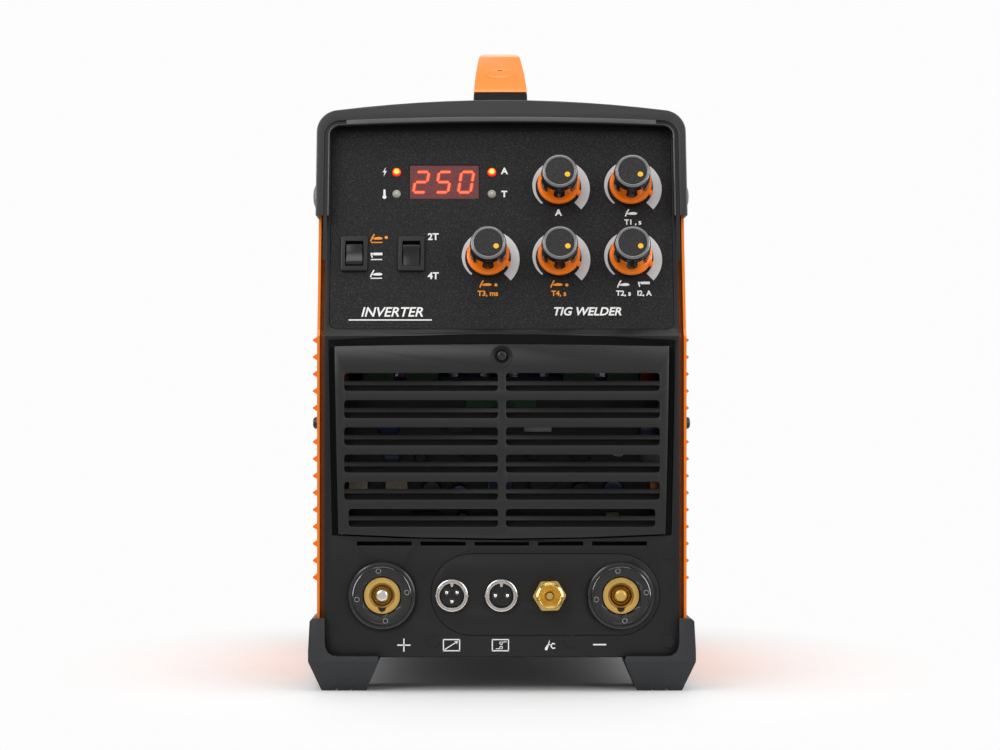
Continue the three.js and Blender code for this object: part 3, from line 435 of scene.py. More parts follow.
@dataclass(frozen=True)
class Finish:
    """One surface finish: its colour, gloss and fine relief."""

    name: str
    colour: Colour
    rough: float
    pattern: Pattern = Pattern.FINE
    metal: float = 0.0
    grain: float = 1200.0
    relief: float = 0.25
    drift: float = 0.12
    marks: float = 0.12
    coat: float = 0.0
    speckle: Colour | None = None
    specular: float = 0.5

    def build(self) -> bpy.types.Material:
        """Makes the material.

        Returns:
            A material whose patterns follow the object's own coordinates.
        """
        material = bpy.data.materials.new(self.name)
        material.use_nodes = True
        tree = material.node_tree
        shader = tree.nodes["Principled BSDF"]
        shader.inputs["Metallic"].default_value = self.metal
        shader.inputs["Specular IOR Level"].default_value = self.specular
        shader.inputs["Coat Weight"].default_value = self.coat
        shader.inputs["Coat Roughness"].default_value = 0.12
        coords = tree.nodes.new("ShaderNodeTexCoord").outputs["Object"]
        tree.links.new(self._colour(tree, coords), shader.inputs["Base Color"])
        normal, pits = self._relief(tree, coords)
        tree.links.new(normal, shader.inputs["Normal"])
        tree.links.new(self._roughness(tree, coords, pits), shader.inputs["Roughness"])
        return material

    def _group(
        self, tree: bpy.types.NodeTree, group: bpy.types.NodeTree, coords: bpy.types.NodeSocket
    ) -> bpy.types.ShaderNodeGroup:
        """Places a shared effect and feeds it the coordinates."""
        node = tree.nodes.new("ShaderNodeGroup")
        node.node_tree = group
        tree.links.new(coords, node.inputs["Vector"])
        return node

    def _colour(self, tree: bpy.types.NodeTree, coords: bpy.types.NodeSocket) -> bpy.types.NodeSocket:
        """The drifting colour, with its speckles if it has any; returns a socket."""
        drift = self._group(tree, EFFECTS.tint, coords)
        drift.inputs["Colour"].default_value = (*self.colour, 1)
        drift.inputs["Drift"].default_value = self.drift
        drift.inputs["Scale"].default_value = 30.0 if self.pattern is not Pattern.BRUSHED else 90.0
        if self.speckle is None:
            return drift.outputs["Colour"]
        dots = noise(tree, coords, self.grain * 1.1, 2, 0.7)
        mix = tree.nodes.new("ShaderNodeMix")
        mix.data_type = "RGBA"
        tree.links.new(ramp(tree, dots.outputs["Fac"], 0.5, 0.74), mix.inputs["Factor"])
        tree.links.new(drift.outputs["Colour"], mix.inputs[6])
        mix.inputs[7].default_value = (*self.speckle, 1)
        return mix.outputs[2]

    def _relief(
        self, tree: bpy.types.NodeTree, coords: bpy.types.NodeSocket,
    ) -> tuple[bpy.types.NodeSocket, bpy.types.NodeSocket]:
        """The fine relief of the surface.

        Args:
            tree: The material's nodes.
            coords: Socket with the object coordinates.

        Returns:
            The normal socket and the socket of the pits' mask.
        """
        grain = self._group(tree, EFFECTS.grain, coords)
        cells = {Pattern.LEATHER: 0.85, Pattern.SPECKLE: 0.4, Pattern.CAST: 0.6}.get(self.pattern, 0.15)
        if self.pattern is Pattern.BRUSHED:
            lines = tree.nodes.new("ShaderNodeMapping")
            lines.inputs["Scale"].default_value = (1.0, 0.08, 1.0)
            tree.links.new(coords, lines.inputs["Vector"])
            tree.links.new(lines.outputs["Vector"], grain.inputs["Vector"])
        grain.inputs["Scale"].default_value = self.grain
        grain.inputs["Cells"].default_value = cells
        grain.inputs["Strength"].default_value = self.relief
        return grain.outputs["Normal"], grain.outputs["Pits"]

    def _roughness(
        self, tree: bpy.types.NodeTree, coords: bpy.types.NodeSocket, pits: bpy.types.NodeSocket,
    ) -> bpy.types.NodeSocket:
        """Roughness: the pits are duller and the handling marks shinier; returns a socket."""
        marks = self._group(tree, EFFECTS.scuffs, coords)
        marks.inputs["Amount"].default_value = self.marks
        uneven = ramp(tree, pits, 0.0, 1.0, self.rough * 0.92, min(self.rough * 1.12, 1.0))
        worn = tree.nodes.new("ShaderNodeMath")
        worn.operation = "SUBTRACT"
        worn.use_clamp = True
        tree.links.new(uneven, worn.inputs[0])
        tree.links.new(marks.outputs["Mask"], worn.inputs[1])
        return worn.outputs[0]


@dataclass(frozen=True)
class Glow:
    """A lit surface: its colour and strength, with a faint cloud in the light."""

    name: str
    colour: Colour
    strength: float
    base: Colour = (0.2, 0.02, 0.01)

    def build(self) -> bpy.types.Material:
        """Makes the glowing material, with a faint cloud in the light.

        Returns:
            The material.
        """
        material = bpy.data.materials.new(self.name)
        material.use_nodes = True
        tree = material.node_tree
        shader = tree.nodes["Principled BSDF"]
        shader.inputs["Roughness"].default_value = 0.25
        shader.inputs["Base Color"].default_value = (*self.base, 1)
        shader.inputs["Emission Strength"].default_value = self.strength
        coords = tree.nodes.new("ShaderNodeTexCoord").outputs["Object"]
        drift = tree.nodes.new("ShaderNodeGroup")
        drift.node_tree = EFFECTS.tint
        tree.links.new(coords, drift.inputs["Vector"])
        drift.inputs["Colour"].default_value = (*self.colour, 1)
        drift.inputs["Drift"].default_value = 0.25
        drift.inputs["Scale"].default_value = 900.0
        tree.links.new(drift.outputs["Colour"], shader.inputs["Emission Color"])
        return material


class Finishes:
    """Every finish of the machine, built once."""

    RECIPES = (
        Finish("orange paint", (0.93, 0.22, 0.002), 0.36, grain=700, relief=0.1, drift=0.05, marks=0.08),
        Finish("orange plastic", (0.95, 0.21, 0.002), 0.3, grain=1500, relief=0.05, drift=0.05, marks=0.06),
        Finish("black moulding", (0.0125, 0.0125, 0.013), 0.42, grain=1300, relief=0.12, specular=0.28),
        Finish("hood moulding", (0.034, 0.0345, 0.0355), 0.38, grain=1300, relief=0.16, specular=0.32),
        # A paler grey for the guard's outer chamfer on the legs: a painted highlight of the side light.
        Finish("hood edge", (0.12, 0.12, 0.122), 0.42, grain=1300, relief=0.15, specular=0.35),
        Finish("dark brass", (0.3, 0.17, 0.045), 0.4, Pattern.CAST, 1.0, 1100, 0.4, 0.4, 0.1),
        # A paler grey for the lip strip: a painted highlight of the light from above.
        Finish("hood strip painted highlight", (0.085, 0.085, 0.087), 0.38, grain=1300, relief=0.1, specular=0.35),
        Finish("grille moulding", (0.014, 0.014, 0.0145), 0.34, grain=1300, relief=0.1, specular=0.45),
        Finish("foot moulding", (0.03, 0.031, 0.033), 0.46, grain=1200, relief=0.2, specular=0.32),
        Finish(
            "grained black", (0.02, 0.02, 0.021), 0.5, Pattern.LEATHER, grain=800, relief=0.5, specular=0.35
        ),
        Finish(
            "panel overlay", (0.0095, 0.0095, 0.01), 0.5, Pattern.SPECKLE, grain=1450, relief=0.2,
            speckle=(0.055, 0.055, 0.055), specular=0.2,
        ),
        Finish("dark steel", (0.02, 0.021, 0.024), 0.46, grain=700, relief=0.2, specular=0.35),
        Finish("socket moulding", (0.007, 0.007, 0.0075), 0.16, grain=1500, relief=0.05, specular=0.8),
        Finish("brass", (0.86, 0.6, 0.2), 0.22, Pattern.BRUSHED, 1.0, 2400, 0.12, 0.25, 0.1),
        Finish("rough brass", (0.8, 0.52, 0.15), 0.42, Pattern.CAST, 1.0, 1100, 0.45, 0.4, 0.1),
        Finish("nickel", (0.78, 0.73, 0.69), 0.16, Pattern.BRUSHED, 1.0, 2200, 0.06, 0.1, 0.05),
        Finish("pin nickel", (0.85, 0.83, 0.78), 0.22, Pattern.CAST, 1.0, 1500, 0.3, 0.35, 0.05),
        Finish("insert black", (0.005, 0.005, 0.0055), 0.35, grain=1500, relief=0.1),
        Finish("steel", (0.55, 0.56, 0.58), 0.28, Pattern.BRUSHED, 1.0, 2000, 0.12, 0.15, 0.1),
        Finish("black steel", (0.05, 0.05, 0.053), 0.3, Pattern.BRUSHED, 0.7, 2000, 0.12, 0.15, 0.1),
        Finish(
            "knob grain", (0.017, 0.017, 0.018), 0.5, Pattern.SPECKLE, grain=1500, relief=0.4,
            speckle=(0.06, 0.06, 0.06), specular=0.3,
        ),
        Finish("knob gloss", (0.008, 0.008, 0.0085), 0.24, grain=1500, relief=0.04),
        # A pale grey for the knobs' glossy rims and the sockets' eyelets: a painted highlight.
        Finish("rim gloss", (0.16, 0.16, 0.162), 0.22, grain=1500, relief=0.03, specular=0.8),
        Finish("switch black", (0.008, 0.008, 0.0085), 0.3, grain=1600, relief=0.05),
        Finish("switch frame", (0.016, 0.016, 0.0165), 0.45, grain=1500, relief=0.1, specular=0.35),
        Finish("gland black", (0.012, 0.012, 0.0125), 0.4, grain=1500, relief=0.1),
        Finish("fan black", (0.01, 0.01, 0.0105), 0.4, grain=1500, relief=0.1),
        Finish("circuit board", (0.015, 0.1, 0.035), 0.35, Pattern.CAST, 0.0, 500, 0.3, 0.5, 0.0),
        Finish("aluminium", (0.3, 0.305, 0.315), 0.45, Pattern.BRUSHED, 1.0, 1500, 0.2, 0.15, 0.1),
        Finish("ferrite", (0.025, 0.023, 0.023), 0.6, Pattern.CAST, 0.0, 900, 0.5, 0.3, 0.0),
        Finish("copper winding", (0.42, 0.15, 0.05), 0.3, Pattern.BRUSHED, 0.7, 1400, 0.3, 0.3, 0.0),
        Finish("capacitor sleeve", (0.015, 0.025, 0.09), 0.25, grain=1500, relief=0.05),
        Finish("white print", (0.86, 0.86, 0.85), 0.55, grain=1800, relief=0.1, drift=0.08, marks=0.0),
        Finish("silver print", (0.66, 0.66, 0.665), 0.35, Pattern.BRUSHED, 0.25, 1800, 0.1, 0.3, 0.0),
        Finish("orange print", (0.95, 0.3, 0.01), 0.55, grain=1800, relief=0.1, drift=0.08, marks=0.0),
        Finish("yellow dot", (1.0, 0.53, 0.01), 0.4, grain=1800, relief=0.05, drift=0.05, marks=0.0),
        Finish("lamp clear", (0.33, 0.33, 0.31), 0.25, grain=2500, relief=0.3, drift=0.3, marks=0.0),
        Finish("lamp chip", (0.55, 0.5, 0.28), 0.3, grain=2500, relief=0.1, drift=0.3, marks=0.0),
        Finish(
            "display window", (0.135, 0.026, 0.03), 0.3, Pattern.SPECKLE, grain=1300, relief=0.2,
            speckle=(0.2, 0.06, 0.065), coat=0.3,
        ),
        Finish("red part", (0.45, 0.015, 0.008), 0.35, grain=1500, relief=0.05),
        Finish("cream part", (0.6, 0.52, 0.38), 0.4, grain=1500, relief=0.05),
    )
    GLOWS = (
        Glow("lamp lit", (1.0, 0.012, 0.008), 1.3),
        Glow("lamp warm", (1.0, 0.16, 0.01), 1.6),
        Glow("lamp heart", (1.0, 0.75, 0.05), 1.7),
        Glow("digit lit", (1.0, 0.17, 0.065), 1.25),
        Glow("digit halo", (0.6, 0.045, 0.04), 0.55),
        # Unlit segments glow faintly: painted light on segments that are not lit.
        Glow("digit unlit painted glow", (0.2, 0.075, 0.08), 0.22),
    )

    def __init__(self) -> None:
        """Builds every recipe."""
        self._built = {recipe.name: recipe.build() for recipe in (*self.RECIPES, *self.GLOWS)}

    def __getitem__(self, name: str) -> bpy.types.Material:
        """The material of that name."""
        return self._built[name]


# ---------------------------------------------------------------- the frame's nodes, refined

BODY_OF = {node: body for body, nodes in frame["record"]["behaviour"]["bodies"].items() for node in nodes}
SLOT_OF = {row["node"]: row["material_slot"] for row in frame["record"]["subparts"]}


PIERCED = ("outer_cover", "rear_panel", "base_tray", "fan_housing")


def fine_copy(node: str) -> bpy.types.Object:
    """A copy of a CAD node, its vertices merged and, unless it is pierced, its flat faces dissolved.

    Args:
        node: Name of the node.

    Returns:
        The copy, not yet dressed.
    """
    source = frame["nodes"][node]
    piece = bpy.data.objects.new(f"fine_{node}", source.data.copy())
    bpy.context.scene.collection.objects.link(piece)
    edit_all(piece)
    bpy.ops.mesh.remove_doubles(threshold=MM * 0.01)
    if node not in PIERCED:
        bpy.ops.mesh.dissolve_limited(angle_limit=math.radians(0.6))
    clear_selection()
    return piece


def refined(
    node: str, finish: bpy.types.Material, slot: str, bevel: float = 0.0, angle: float = 32.0
) -> bpy.types.Object:
    """A fine copy of a CAD node: merged, its flat faces dissolved, its edges rounded, smoothly shaded.

    Args:
        node: Name of the CAD node that the copy replaces.
        finish: The copy's material.
        slot: The record's material slot.
        bevel: Width of the rounded edges in millimetres, or 0.
        angle: Edges sharper than this many degrees stay edges.

    Returns:
        The copy, riding on the node's body.
    """
    piece = fine_copy(node)
    if bevel:
        bevel_edges(piece, bevel, angle=angle)
    smooth(piece, angle)
    if node in PIERCED:
        even_normals(piece)
    return mount(piece, finish, slot, BODY_OF[node], node)


def even_normals(piece: bpy.types.Object, bend: float = 15.0) -> None:
    """Shades a sheet's flat faces flat, and its bends evenly along their whole length.

    Args:
        piece: A sheet that is square to the frame and runs from front to back.
        bend: Faces that meet at less than this many degrees shade as one surface.
    """
    mesh = piece.data
    limit = math.cos(math.radians(bend))
    lines: dict[tuple[float, float], dict[tuple[float, ...], Vector]] = {}
    for polygon in mesh.polygons:
        for index in polygon.vertices:
            spot = mesh.vertices[index].co
            faces = lines.setdefault((round(spot.x, 5), round(spot.z, 5)), {})
            faces[tuple(round(value, 3) for value in polygon.normal)] = polygon.normal.copy()
    normals = [corner.vector.copy() for corner in mesh.corner_normals]
    for polygon in mesh.polygons:
        for loop in polygon.loop_indices:
            spot = mesh.vertices[mesh.loops[loop].vertex_index].co
            near = [
                normal for normal in lines[round(spot.x, 5), round(spot.z, 5)].values()
                if normal.dot(polygon.normal) > limit
            ]
            square = [normal for normal in near if max(abs(normal.x), abs(normal.y)) > 0.99999]
            normals[loop] = square[0] if square else sum(near, Vector()).normalized()
    mesh.normals_split_custom_set(normals)


def mount(
    piece: bpy.types.Object, finish: bpy.types.Material | None, slot: str, body: str, *nodes: str
) -> bpy.types.Object:
    """Dresses a finished piece and fixes it to its body.

    Args:
        piece: The finished piece, its place in its mesh.
        finish: Its material, or None where it is dressed already.
        slot: The record's material slot; not used.
        body: The CAD body that it rides on.
        nodes: CAD nodes that it stands for.

    Returns:
        The same piece.
    """
    if finish is not None:
        dress(piece, finish)
    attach(piece, body)
    if nodes:
        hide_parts(*nodes)
    LOG.info("%s rides on %s, %d faces", piece.name, body, len(piece.data.polygons))
    return piece


# ---------------------------------------------------------------- body

@dataclass
class Body:
    """The casing: cover, fascia, guards, grille, feet, handle, tray and rear panel."""

    finishes: Finishes

    def build(self) -> None:
        """Refines every casing node."""
        jobs = (
            ("outer_cover", "orange paint", 0.0, 25.0),
            ("front_fascia", "black moulding", 0.6, 32.0),
            ("rear_hood", "hood moulding", 0.9, 30.0),
            ("air_grille", "grille moulding", 0.6, 32.0),
            ("connector_plate", "black moulding", 0.25, 32.0),
            ("handle_base", "grained black", 0.8, 24.0),
            ("handle_grip_cover", "orange plastic", 1.2, 20.0),
            ("front_left_foot", "foot moulding", 1.6, 24.0),
            ("front_right_foot", "foot moulding", 1.6, 24.0),
            ("rear_left_foot", "foot moulding", 1.6, 24.0),
            ("rear_right_foot", "foot moulding", 1.6, 24.0),
            ("base_tray", "dark steel", 0.0, 25.0),
            ("rear_panel", "dark steel", 0.0, 25.0),
        )
        for node, finish, bevel, angle in jobs:
            refined(node, self.finishes[finish], SLOT_OF[node], bevel, angle)
        self._dress_rest()

    def _dress_rest(self) -> None:
        """Gives the finish of its slot to every node that keeps its own mesh."""
        names = {
            "lamp_lit": "lamp lit", "lamp_clear": "lamp clear", "display_window": "display window",
            "knob_black": "knob gloss", "orange_plastic": "orange plastic",
        }
        for node, piece in frame["nodes"].items():
            slot = SLOT_OF[node]
            material = self.finishes[names.get(slot, slot.replace("_", " "))]
            for index in range(len(piece.data.materials)):
                piece.data.materials[index] = material


# ---------------------------------------------------------------- control panel

@dataclass
class PanelFrame:
    """The panel's own frame: X to the right, Y up the slope, Z out of its face."""

    plate: float = 2.5
    tilt: float = 0.0
    place: Matrix = Matrix.Identity(4)

    def __post_init__(self) -> None:
        """Takes the slope from a knob's axis and the foot from the plate's box."""
        axis = next(joint["axis"] for joint in frame["joints"] if joint["name"] == "main_current_turn")
        self.tilt = math.asin(-axis[2])
        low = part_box("control_panel")[0]
        foot = Vector((0, low.y, low.z + self.plate * MM * math.sin(self.tilt)))
        self.place = Matrix.Translation(foot) @ Matrix.Rotation(math.pi / 2 - self.tilt, 4, "X")

    def seat(self, node: str) -> Point:
        """Where a node's middle lies on the panel, in millimetres."""
        low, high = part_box(node)
        local = self.place.inverted() @ ((low + high) / 2)
        return local.x / MM, local.y / MM

    def at(self, x: float, y: float, height: float = 0.0, turn: float = 0.0) -> Matrix:
        """Place of a piece that stands on the panel.

        Args:
            x: Millimetres to the right.
            y: Millimetres up the slope.
            height: Millimetres above the face.
            turn: Degrees round the panel's normal.

        Returns:
            The transform from the piece's own space to the frame.
        """
        return (
            self.place
            @ Matrix.Translation((x * MM, y * MM, height * MM))
            @ Matrix.Rotation(math.radians(turn), 4, "Z")
        )


PANEL = PanelFrame()


def front_place(x: float, y: float, z: float) -> Matrix:
    """Place of a piece that faces the front, its own Z towards the viewer.

    Args:
        x: Metres to the right.
        y: Metres to the back.
        z: Metres up.

    Returns:
        The transform from the piece's own space to the frame.
    """
    return Matrix.Translation((x, y, z)) @ Matrix.Rotation(math.pi / 2, 4, "X")


def placed(
    piece: bpy.types.Object, x: float, y: float, z: float = 0.0, turn: float = 0.0
) -> bpy.types.Object:
    """Moves and turns a mesh inside its own space.

    Args:
        piece: The piece.
        x: Millimetres along X.
        y: Millimetres along Y.
        z: Millimetres along Z.
        turn: Degrees round Z, before the move.

    Returns:
        The same piece.
    """
    turned_by = Matrix.Rotation(math.radians(turn), 4, "Z")
    return settle(piece, Matrix.Translation((x * MM, y * MM, z * MM)) @ turned_by)


def cut(piece: bpy.types.Object, tool: bpy.types.Object) -> None:
    """Cuts one closed mesh out of another and deletes the tool.

    Args:
        piece: The piece that is cut.
        tool: The shape that is taken away.
    """
    pick(piece)
    modifier = piece.modifiers.new("Cut", "BOOLEAN")
    modifier.operation = "DIFFERENCE"
    modifier.solver = "EXACT"
    modifier.use_self = True
    modifier.object = tool
    bpy.ops.object.modifier_apply(modifier=modifier.name)
    bpy.data.objects.remove(tool)
    edit_all(piece)
    bpy.ops.mesh.remove_doubles(threshold=MM * 0.005)
    bpy.ops.mesh.dissolve_limited(angle_limit=math.radians(0.5))
    clear_selection()


@dataclass
class Print:
    """Thin printed marks on the panel or the plate."""

    thickness: float = 0.06
    stroke: float = 0.55

    def line(self, points: list[Point], width: float | None = None) -> bpy.types.Object:
        """A stroke through points, mitred at its bends, in millimetres."""
        half = (width or self.stroke) / 2
        left, right = [], []
        for index, (x, y) in enumerate(points):
            before = Vector(points[max(index - 1, 0)])
            after = Vector(points[min(index + 1, len(points) - 1)])
            along = (after - before).normalized()
            here = Vector((x, y))
            incoming = (here - before).normalized() if index else along
            stretch = 1 / max(along.dot(incoming), 0.5)
            side = Vector((-along.y, along.x)) * half * stretch
            left.append(tuple(here + side))
            right.append(tuple(here - side))
        return prism("stroke", [*right, *reversed(left)], self.thickness)

    def fill(self, outline: list[Point]) -> bpy.types.Object:
        """A filled outline in millimetres."""
        return prism("fill", outline, self.thickness)

    def dot(self, x: float, y: float, radius: float) -> bpy.types.Object:
        """A filled disc in millimetres."""
        return prism("dot", arc((x, y), radius, 0, 330, 11), self.thickness)

    def word(self, text: str, height: float, weight: float = 0.0, slant: float = 0.0) -> bpy.types.Object:
        """Plain lettering centred on the origin.

        Args:
            text: What it says.
            height: Height of a capital in millimetres.
            weight: How much bolder than the plain face, in millimetres.
            slant: Lean of the letters.

        Returns:
            The lettering as a mesh.
        """
        clear_selection()
        bpy.ops.object.text_add(location=(0, 0, 0))
        piece = bpy.context.active_object
        piece.name = "word"
        letters = piece.data
        letters.body = text
        letters.size = height * MM / 0.69
        letters.offset = weight * MM
        letters.shear = slant
        letters.extrude = self.thickness * MM / 2
        letters.align_x = "CENTER"
        letters.align_y = "CENTER"
        letters.resolution_u = 3
        pick(piece)
        bpy.ops.object.convert(target="MESH")
        edit_all(piece)
        bpy.ops.mesh.remove_doubles(threshold=MM * 0.01)
        clear_selection()
        return settle(piece, Matrix.Translation((0, 0, self.thickness * MM / 2)))


def smoothed(piece: bpy.types.Object, angle: float = 35.0) -> bpy.types.Object:
    """Smooths a piece's shading and returns it."""
    smooth(piece, angle)
    return piece


def corner_out(node: str) -> Vector:
    """The outermost point of a node along the panel's normal."""
    normal = PANEL.place.to_3x3() @ Vector((0, 0, 1))
    return max((v.co for v in frame["nodes"][node].data.vertices), key=lambda co: co.dot(normal)).copy()


@dataclass
class Knobs:
    """The five setting knobs: ribbed grip, glossy rim painted pale grey as a highlight, grained face, yellow dot
    and orange skirt.
    """

    finishes: Finishes
    top: float = 26.0
    cap_foot: float = 20.9
    skirt: float = 12.0
    pointer: float = -27.0
    dot_angle: float = -25.0
    dot_reach: float = 4.75
    ribs: int = 6
    rib_top: float = 10.35
    names: tuple[str, ...] = ("main_current", "slope_down", "base_current", "pulse_time", "gas_time")

    def build(self) -> None:
        """Models one knob and sets a copy of it on each spindle."""
        knob = self._knob()
        skirt = self._skirt()
        for name in self.names:
            x, y = PANEL.seat(f"{name}_knob")
            body = f"{name}_control"
            cap = settle(copy_of(knob, f"{name}_cap"), PANEL.at(x, y))
            mount(cap, None, "knob_black", body, f"{name}_knob")
            crown = settle(copy_of(skirt, f"{name}_crown"), PANEL.at(x, y))
            mount(crown, None, "orange_plastic", body, f"{name}_skirt")
        bpy.data.objects.remove(knob)
        bpy.data.objects.remove(skirt)

    def _knob(self) -> bpy.types.Object:
        """The black knob, pointing at its rest setting."""
        top, foot = self.top, self.cap_foot
        grip = turned("grip", [
            (0, 0.9), (8.6, 0.9), (8.9, 1.2), (8.9, 4.0), (8.6, 4.25), (6.95, 4.25), (6.95, foot),
            (9.7, foot),
            (9.9, foot + 0.2), (10, foot + 0.6), (10, top - 1.5), (9.85, top - 0.95), (9.4, top - 0.75),
            (0, top - 0.75),
        ], 72)
        dress(smoothed(grip), self.finishes["knob gloss"])
        # The rim's pale grey is a painted highlight on the glossy rim.
        ring = turned("rim", [
            (8.0, top - 1), (8.0, top - 0.3), (8.25, top - 0.2), (8.45, top), (8.8, top), (9.35, top - 0.35),
            (9.6, top - 0.75), (9.3, top - 1), (8.0, top - 1),
        ], 72)
        dress(smoothed(ring), self.finishes["rim gloss"])
        face = turned("face", [
            (0, top - 0.42), (4, top - 0.4), (7.2, top - 0.32), (7.7, top - 0.36), (7.9, top - 0.6),
            (7.9, top - 2), (0, top - 2),
        ], 72)
        dress(smoothed(face), self.finishes["knob grain"])
        return joined("knob", [grip, ring, face, self._ribs(), *self._spot()])

    def _ribs(self) -> bpy.types.Object:
        """The ribs that reach down from the cap over the orange skirt, with round tips."""
        tube = turned("ribs", [
            (9.85, 9.9), (10.2, 9.9), (self.rib_top, 10.3), (self.rib_top, 20), (9.98, 21.6), (9.85, 21.6),
            (9.85, 9.9),
        ], 120)
        for index in range(self.ribs):
            cut(tube, self._window(360 / self.ribs * (index + 0.5) + 30))
        return dress(smoothed(tube, 40), self.finishes["knob gloss"])

    def _window(self, angle: float) -> bpy.types.Object:
        """A bell-shaped tool that opens the space between two ribs, at an angle in degrees."""
        half, reach = 2.15, 5.35
        side = [(half + (reach - half) * (1 - math.sin(turn)), 4.2 - 4.0 * math.cos(turn)) for turn in (
            math.radians(step) for step in (90, 75, 60, 45, 30, 15, 0)
        )]
        outline = [(half + 0.5, 10.7), *side, (reach, -2)]
        tool = prism("window", outline + [(-x, y) for x, y in reversed(outline)], 5)
        upright = Matrix.Rotation(math.pi / 2, 4, "Z") @ Matrix.Rotation(math.pi / 2, 4, "X")
        out = Matrix.Translation((7 * MM, 0, 9.9 * MM))
        return settle(tool, Matrix.Rotation(math.radians(angle), 4, "Z") @ out @ upright)

    def _spot(self) -> list[bpy.types.Object]:
        """The yellow dot in its dark ring."""
        angle = math.radians(self.dot_angle)
        x, y = self.dot_reach * math.cos(angle), self.dot_reach * math.sin(angle)
        ring = turned("dot_ring", [(0, 0), (1.98, 0), (1.98, 0.06), (1.7, 0.12), (0, 0.12)], 24)
        dress(ring, self.finishes["insert black"])
        dot = turned("dot", [(0, 0.1), (1.5, 0.1), (1.5, 0.16), (1.2, 0.22), (0, 0.24)], 24)
        dress(smoothed(dot), self.finishes["yellow dot"])
        return [placed(ring, x, y, self.top - 0.42), placed(dot, x, y, self.top - 0.42)]

    def _skirt(self) -> bpy.types.Object:
        """The orange skirt: a beaded ring, the cone above it and a square pointer."""
        r = self.skirt
        crown = turned("crown", [
            (7.35, 4.6), (r - 0.35, 4.6), (r, 4.95), (r, 5.7), (r - 0.2, 6.3), (r - 0.65, 6.7),
            (r - 1.1, 6.75),
            (r - 1.4, 7.1), (10.25, 7.9), (10.0, 8.4), (9.75, 8.9), (9.6, 9.6), (9.5, 20.5), (7.35, 20.5),
            (7.35, 4.6),
        ], 96)
        pointer = block("pointer", (3.3, 3.0, 1.9), 0.35)
        angle = math.radians(self.pointer)
        reach = r + 0.1
        placed(pointer, reach * math.cos(angle), reach * math.sin(angle), 5.75, self.pointer)
        whole = joined("skirt", [crown, pointer])
        return dress(smoothed(whole, 35), self.finishes["orange plastic"])


@dataclass
class Display:
    """The three-digit display with its lit segments and its unlit segments, which glow faintly as painted light.
    """

    finishes: Finishes
    text: tuple[str, ...] = ("abged", "afgcd", "abcdef")
    pitch: float = 12.7
    width: float = 7.4
    height: float = 13.6
    stroke: float = 1.35
    slant: float = 9.0

    def build(self) -> None:
        """Draws every segment of the three digits on the window."""
        x, y = PANEL.seat("display_module")
        window = (PANEL.place.inverted() @ corner_out("display_module")).z / MM
        lit, ghost, halo = [], [], []
        for place, segments in enumerate(self.text):
            for letter, outline in self._segments().items():
                pen = prism(letter, self._lean(outline, (place - 1) * self.pitch - 0.4), 0.08)
                # Unlit segments and the points get a faint glow: painted light.
                (lit if letter in segments else ghost).append(pen)
                if letter in segments:
                    wide = self._segments(grow=0.55)[letter]
                    halo.append(prism(letter, self._lean(wide, (place - 1) * self.pitch - 0.4), 0.04))
            ghost.append(
                prism("point", self._lean(arc((5.6, -6.3), 0.6, 0, 300, 5), (place - 1) * self.pitch), 0.08)
            )
        for name, pens, finish in (
            ("display_digits", lit, "digit lit"), ("display_unlit_painted_glow", ghost, "digit unlit painted glow"),
            ("display_halo", halo, "digit halo"),
        ):
            mount(
                settle(joined(name, pens), PANEL.at(x, y, window)), self.finishes[finish], "display_window",
                CHASSIS
            )

    def _segments(self, grow: float = 0.0) -> dict[str, list[Point]]:
        """Outlines of the seven segments, upright and centred, in millimetres."""
        across = self.width / 2 - 0.25
        up = self.height / 2
        half = self.stroke / 2 + grow
        tip = 0.45 + grow * 0.6

        def bar(ax: float, ay: float, bx: float, by: float) -> list[Point]:
            """A bar with pointed ends between two points."""
            along = (Vector((bx, by)) - Vector((ax, ay))).normalized()
            side = Vector((-along.y, along.x)) * half
            start, end = Vector((ax, ay)) + along * (
                0.62 - tip * 0.6
            ), Vector((bx, by)) - along * (0.62 - tip * 0.6)
            return [tuple(p) for p in (
                start + side + along * tip, start, start - side + along * tip,
                end - side - along * tip, end, end + side - along * tip,
            )]

        top, low = up - self.stroke / 2, -up + self.stroke / 2
        return {
            "a": bar(-across, top, across, top), "g": bar(-across, 0, across, 0),
            "d": bar(-across, low, across, low),
            "b": bar(across, 0, across, top), "c": bar(across, low, across, 0),
            "f": bar(-across, 0, -across, top), "e": bar(-across, low, -across, 0),
        }

    def _lean(self, outline: list[Point], shift: float) -> list[Point]:
        """Slants an outline and moves it to its digit's place."""
        slope = math.tan(math.radians(self.slant))
        return [(x + y * slope + shift, y) for x, y in outline]


